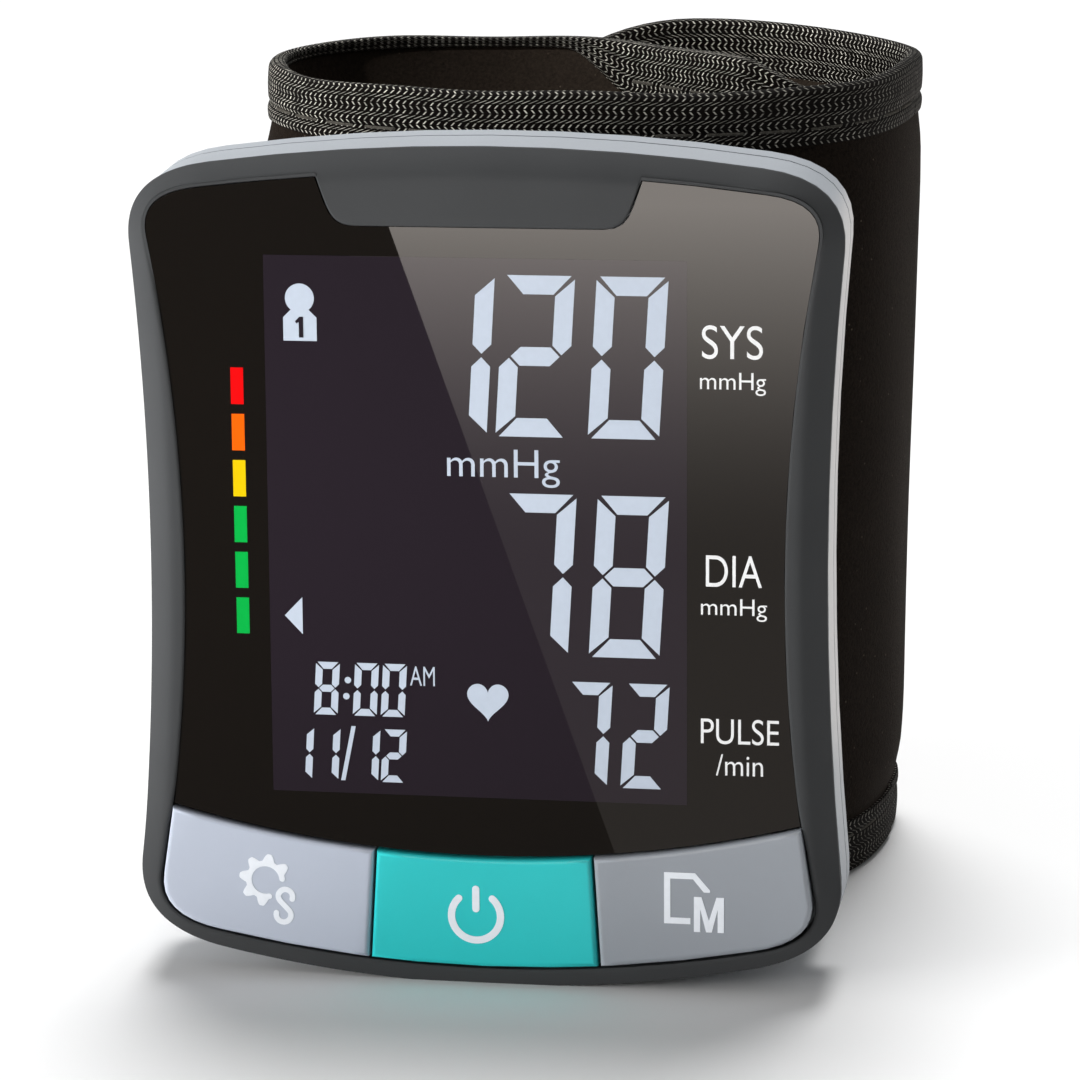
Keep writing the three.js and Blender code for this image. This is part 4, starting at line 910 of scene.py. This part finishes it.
# The flap's tape: its edge route, round two corners, with the same folded section turned square to it.
# Each point of the route has its distance along and height, then the way in from the edge.
def flapTape():
    corner, top, total = flap["corner"], cuff["height"], flapRun["total"]
    level = np.linspace(reach, total - corner, 70)
    turn = np.linspace(0, np.pi / 2, 24)[1:]
    middle = np.linspace(top - corner, corner, 20)[1:-1]
    route = lambda *columns: np.stack(np.broadcast_arrays(*columns), 1)
    upper = np.concatenate([route(level, top, 0, -1), route(total - corner + corner * np.sin(turn),
                            top - corner + corner * np.cos(turn), -np.sin(turn), -np.cos(turn))])
    lower = upper[::-1] * (1, -1, 1, -1) + (0, top, 0, 0)
    edge = np.concatenate([upper, route(total, middle, -1, 0), lower])
    ring = tapeRing(flap["rimMiddle"])
    a, h = (edge[:, k, None] + edge[:, k + 2, None] * ring[:, 1] for k in (0, 1))
    points = wallPoints(flapRun, a, ring[:, 0], h, -1)
    return makeTube("flap_tape", points, bindingTape, "flap", clothUv(runLengths(edge[:, :2]), ring))


# The hook patch: a flat sheet that lies on the lining near the free end
def hookPatch():
    f = flap
    along = flapRun["total"] - cuff["tapeHeight"] - f["hookLength"] * np.linspace(1, 0, 24)
    heights = cuff["height"] / 2 + f["hookHeight"] * np.linspace(-0.5, 0.5, 30)
    a, h = np.meshgrid(along, heights, indexing="ij")
    back = flapFaces(-1, a, h)[0] - 0.03  # a hair off the lining
    return flapSheet("hook_patch", a, h, back, back - f["hookThick"], hookNylon)


flapCover = flapLayer("flap_cover_cloth", 1, velour)
flapLining = flapLayer("flap_lining_cloth", -1, liningCloth)
flapEdge = flapTape()
hooks = hookPatch()
for piece, node, slot in ((flapCover, "flap_cover", "velour"), (flapLining, "flap_lining", "velour"),
                          (flapEdge, "flap_binding", "knit_tape"), (hooks, "hook_pad", "hook_tape")):
    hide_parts(node)
print("flap ready, line", round(flapRun["total"], 1), "mm")


# Fold: the cloth and tapes that join the cuff to the flap, a cubic from one end ring to the other
def foldPiece(name, startRing, endRing, material):
    step = 0.05
    ends = []
    for path, ring, outside, way in ((cuffRun, startRing, 1, -1), (flapRun, endRing, -1, 1)):
        at = wallPoints(path, reach, ring[:, 0], ring[:, 1], outside)
        ahead = wallPoints(path, reach + step, ring[:, 0], ring[:, 1], outside)
        ends.append((at, way * (ahead - at) / step))
    (p, u), (q, v) = ends
    span, stations = 2 * reach + flap["gap"], 26
    t = np.linspace(0, 1, stations)[:, None, None]
    points = ((2 * t ** 3 - 3 * t ** 2 + 1) * p + (t ** 3 - 2 * t ** 2 + t) * span * u
              + (3 * t ** 2 - 2 * t ** 3) * q + (t ** 3 - t ** 2) * span * v)
    piece = makeTube(name, points, material, None, clothUv(np.linspace(reach, -reach, stations), startRing))
    middle = points.mean(1)
    middle[:, 2] = middle[:, 2].mean()  # the middle line, levelled; nothing after this reads it
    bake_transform(piece)
    return piece


# The fold's two cloths and two tapes, each with the cuff's own ring at the start and the flap's at the end
def buildFold():
    c = cuff
    for sign, name, material in ((1, "fold_cover_cloth", velour), (-1, "fold_lining_cloth", liningCloth)):
        start = padRing(sign)
        loose = eased(np.minimum(start[:, 1], c["height"] - start[:, 1]), *c["looseRun"])
        swell = rightSwell(reach, start[:, 1]) if sign > 0 else 0
        heights = start[:len(start) // 2, 1]
        end = twoFaces(*flapFaces(sign, reach, heights), heights)
        start[:, 0] += loose * (slack(reach, start[:, 1]) + swell)
        foldPiece(name, start, end, material)
    start, end = tapeRing(c["rimMiddle"]), tapeRing(flap["rimMiddle"])
    top = np.array([0, c["height"]])
    foldPiece("fold_upper_tape", top + start * (1, -1), top + end * (1, -1), bindingTape)
    foldPiece("fold_lower_tape", start, end, bindingTape)


buildFold()
print("fold ready")

# Solids that keep their shape: smooth faces, split at real edges, and a finish for each
finishes = {
    silverPaint: ["front_case", "rear_case", "battery_cover"],
    capTintPaintedLight: ["set_button"],
    capTintPaintedShade: ["memory_button"],
    tealCap: ["power_button"],
    blackAcrylic: ["display_window"],
    liquidGlass: ["display_module"],
    whiteNylon: ["backlight_panel", "air_manifold", "pump_head"],
    grayRubber: ["display_connector"],
    fluxBoard: ["main_board"],
    blackNylon: ["set_switch", "power_switch", "memory_switch", "processor", "pressure_sensor", "buzzer",
                 "air_port", "cuff_stay"],
    springSteel: ["exhaust_valve", "pump_motor", "cell_bridge", "left_contact", "right_contact",
                  "case_screw_1", "case_screw_2", "case_screw_3", "case_screw_4",
                  "cuff_screw_1", "cuff_screw_2"],
    clearSilicone: ["valve_hose", "sensor_hose", "pump_hose"],
    cellWrap: ["left_cell", "right_cell"],
}
for material, names in finishes.items():
    for name in names:
        solid = nodes[name]
        solid.data.materials.clear()
        solid.data.materials.append(material)
        solid.data.polygons.foreach_set("use_smooth", np.ones(len(solid.data.polygons), bool))
        weld = solid.modifiers.new("weld", "WELD")
        weld.merge_threshold = 2e-6  # metres
        split = solid.modifiers.new("edges", "EDGE_SPLIT")
        split.split_angle = math.radians(38)
        level = solid.modifiers.new("normals", "WEIGHTED_NORMAL")
        level.keep_sharp = True
print("finishes set")

# Stage: a white floor that keeps the shadow, soft lamps, and cards that only reflections show
stage = {"floorSize": 6.0, "floorTone": "#f2f2f2", "worldLight": 0.24}


# A flat sheet of four corners with one material, for the floor and the cards
def stageSheet(name, corners, material):
    mesh = bpy.data.meshes.new(name)
    mesh.from_pydata(corners, [], [(0, 1, 2, 3)])
    mesh.materials.append(material)
    sheet = addObject(name, mesh)
    return sheet


# The floor, and a world that is white to the camera and to mirrors and dimmer as light
def buildStage():
    s = stage
    matt = {"Roughness": 0.9, "Specular IOR Level": 0.0}
    half = s["floorSize"] / 2
    corners = [(x, y, 0) for x, y in rectangle(-half, -half, half, half)]
    stageSheet("floor", corners, startMaterial("white_floor", s["floorTone"], matt)[0])

    world = bpy.data.worlds.new("studio")
    bpy.context.scene.world = world
    world.use_nodes = True
    tree = world.node_tree
    seen = addNode(tree, "LightPath", {}).outputs  # white to the camera, mirrors and glass
    mirror = addNode(tree, "Math", {0: seen["Is Camera Ray"], 1: seen["Is Glossy Ray"]}, operation="MAXIMUM")
    clear = addNode(tree, "Math", {0: mirror, 1: seen["Is Transmission Ray"]}, operation="MAXIMUM")
    level = addNode(tree, "MapRange", {"Value": clear, "To Min": s["worldLight"], "To Max": 1.0})
    feed(tree.nodes["Background"], {"Color": (1, 1, 1, 1), "Strength": level})


# Lamps: kind, place and aim in metres, size in metres or spread in degrees, strength. Mirrors show only the
# sun, so that the window stays dark from other sides.
lamps = {
    "sky": ("SUN", (-0.02, 0.44, 0.9), (0, 0.02, 0.04), 30, 3.25),
    "key": ("AREA", (-0.6, -0.33, 0.045), (0, 0.02, 0.04), 0.25, 5.5),
    "left_top": ("AREA", (-0.58, -0.1, 0.2), (0, 0.02, 0.04), 0.2, 0.7),
    "edge": ("SPOT", (-0.3, -0.15, 0.07), (-0.044, 0.0, 0.045), 13, 3.2),
    "rim": ("SPOT", (-0.34, -0.28, 0.34), (0.016, 0.058, 0.074), 7.0, 16.0),
}


def buildLamps():
    for name, (kind, place, aim, size, power) in lamps.items():
        data = bpy.data.lights.new(name, kind)
        data.energy = power
        if kind == "SUN":
            data.angle = math.radians(size)
        elif kind == "SPOT":
            data.spot_size = math.radians(size)
            data.spot_blend = 0.8
            data.shadow_soft_size = 0.02
        else:
            data.size = size
        lamp = addObject(name, data)
        lamp.location = place
        lamp.visible_glossy = kind == "SUN"
        lamp.rotation_euler = (Vector(aim) - Vector(place)).to_track_quat("-Z", "Y").to_euler()


# Cards seen in reflections only. A dark and a bright one in front are mirrored in the window: where the glare
# begins and how it fades. The third stands behind on the right, for the silver edge.
cards = {
    "distance": 50.0, "edgeTop": (-7.75, 67.05), "edgeFoot": (11.13, 13.68), "edgeGrow": 0.25,
    "nearX": -40.0, "farX": 60.0, "darkStrength": 0.3,
    "fade": (37.0, 69.0), "fadePower": 2.2, "lowStrength": 0.9, "addedStrength": 8.1,
    "side": (38.0, -10.0, 160.0, 75.0), "sideY": 75.0, "sideStrength": 2.2,
}


# A point of the window, carried on from the camera to the card's distance and mirrored to the front
def mirrored(x, z):
    eye = view["place"]
    share = cards["distance"] / -eye[1]
    return (x + (x - eye[0]) * share, -cards["distance"], z + (z - eye[2]) * share)


# A glowing card that the camera does not see and that casts no shadow
def placeCard(name, corners, strength):
    material = bpy.data.materials.new(name)
    material.use_nodes = True
    tree = material.node_tree
    tree.nodes.clear()
    glow = addNode(tree, "Emission", {"Color": shade("#fff6ee"), "Strength": strength})
    addNode(tree, "OutputMaterial", {"Surface": glow})
    panel = stageSheet(name, stand(corners).tolist(), material)
    panel.visible_camera = False
    panel.visible_diffuse = False
    panel.visible_shadow = False
    return tree, glow


# The two front cards meet along the glare's edge, drawn on past the window at both ends
def buildCards():
    c = cards
    (xa, za), (xb, zb) = c["edgeTop"], c["edgeFoot"]
    dx, dz = c["edgeGrow"] * (xb - xa), c["edgeGrow"] * (zb - za)
    high, low = za - dz, zb + dz
    upper, lower = mirrored(xa - dx, high), mirrored(xb + dx, low)
    near, far = ([mirrored(x, z) for z in (high, low)] for x in (c["nearX"], c["farX"]))
    placeCard("dark_card", [near[0], upper, lower, near[1]], c["darkStrength"])
    tree, glow = placeCard("glare_card", [upper, *far, lower], c["lowStrength"])
    place = addNode(tree, "TexCoord", {}).outputs["Object"]
    height = addNode(tree, "SeparateXYZ", {"Vector": place}).outputs[2]
    start, end = (stand(mirrored(0, z))[2] for z in c["fade"])
    fade = addNode(tree, "MapRange", {"Value": height, "From Min": start, "From Max": end})
    curve = addNode(tree, "Math", {0: fade, 1: c["fadePower"]}, operation="POWER")
    added = {0: curve, 1: c["addedStrength"], 2: c["lowStrength"]}
    feed(glow, {"Strength": addNode(tree, "Math", added, operation="MULTIPLY_ADD")})
    side = [(x, c["sideY"], z) for x, z in rectangle(*c["side"])]
    placeCard("side_card", side, c["sideStrength"])


buildStage()
buildLamps()
buildCards()
bpy.context.scene.view_settings.view_transform = "Standard"
print("stage ready")
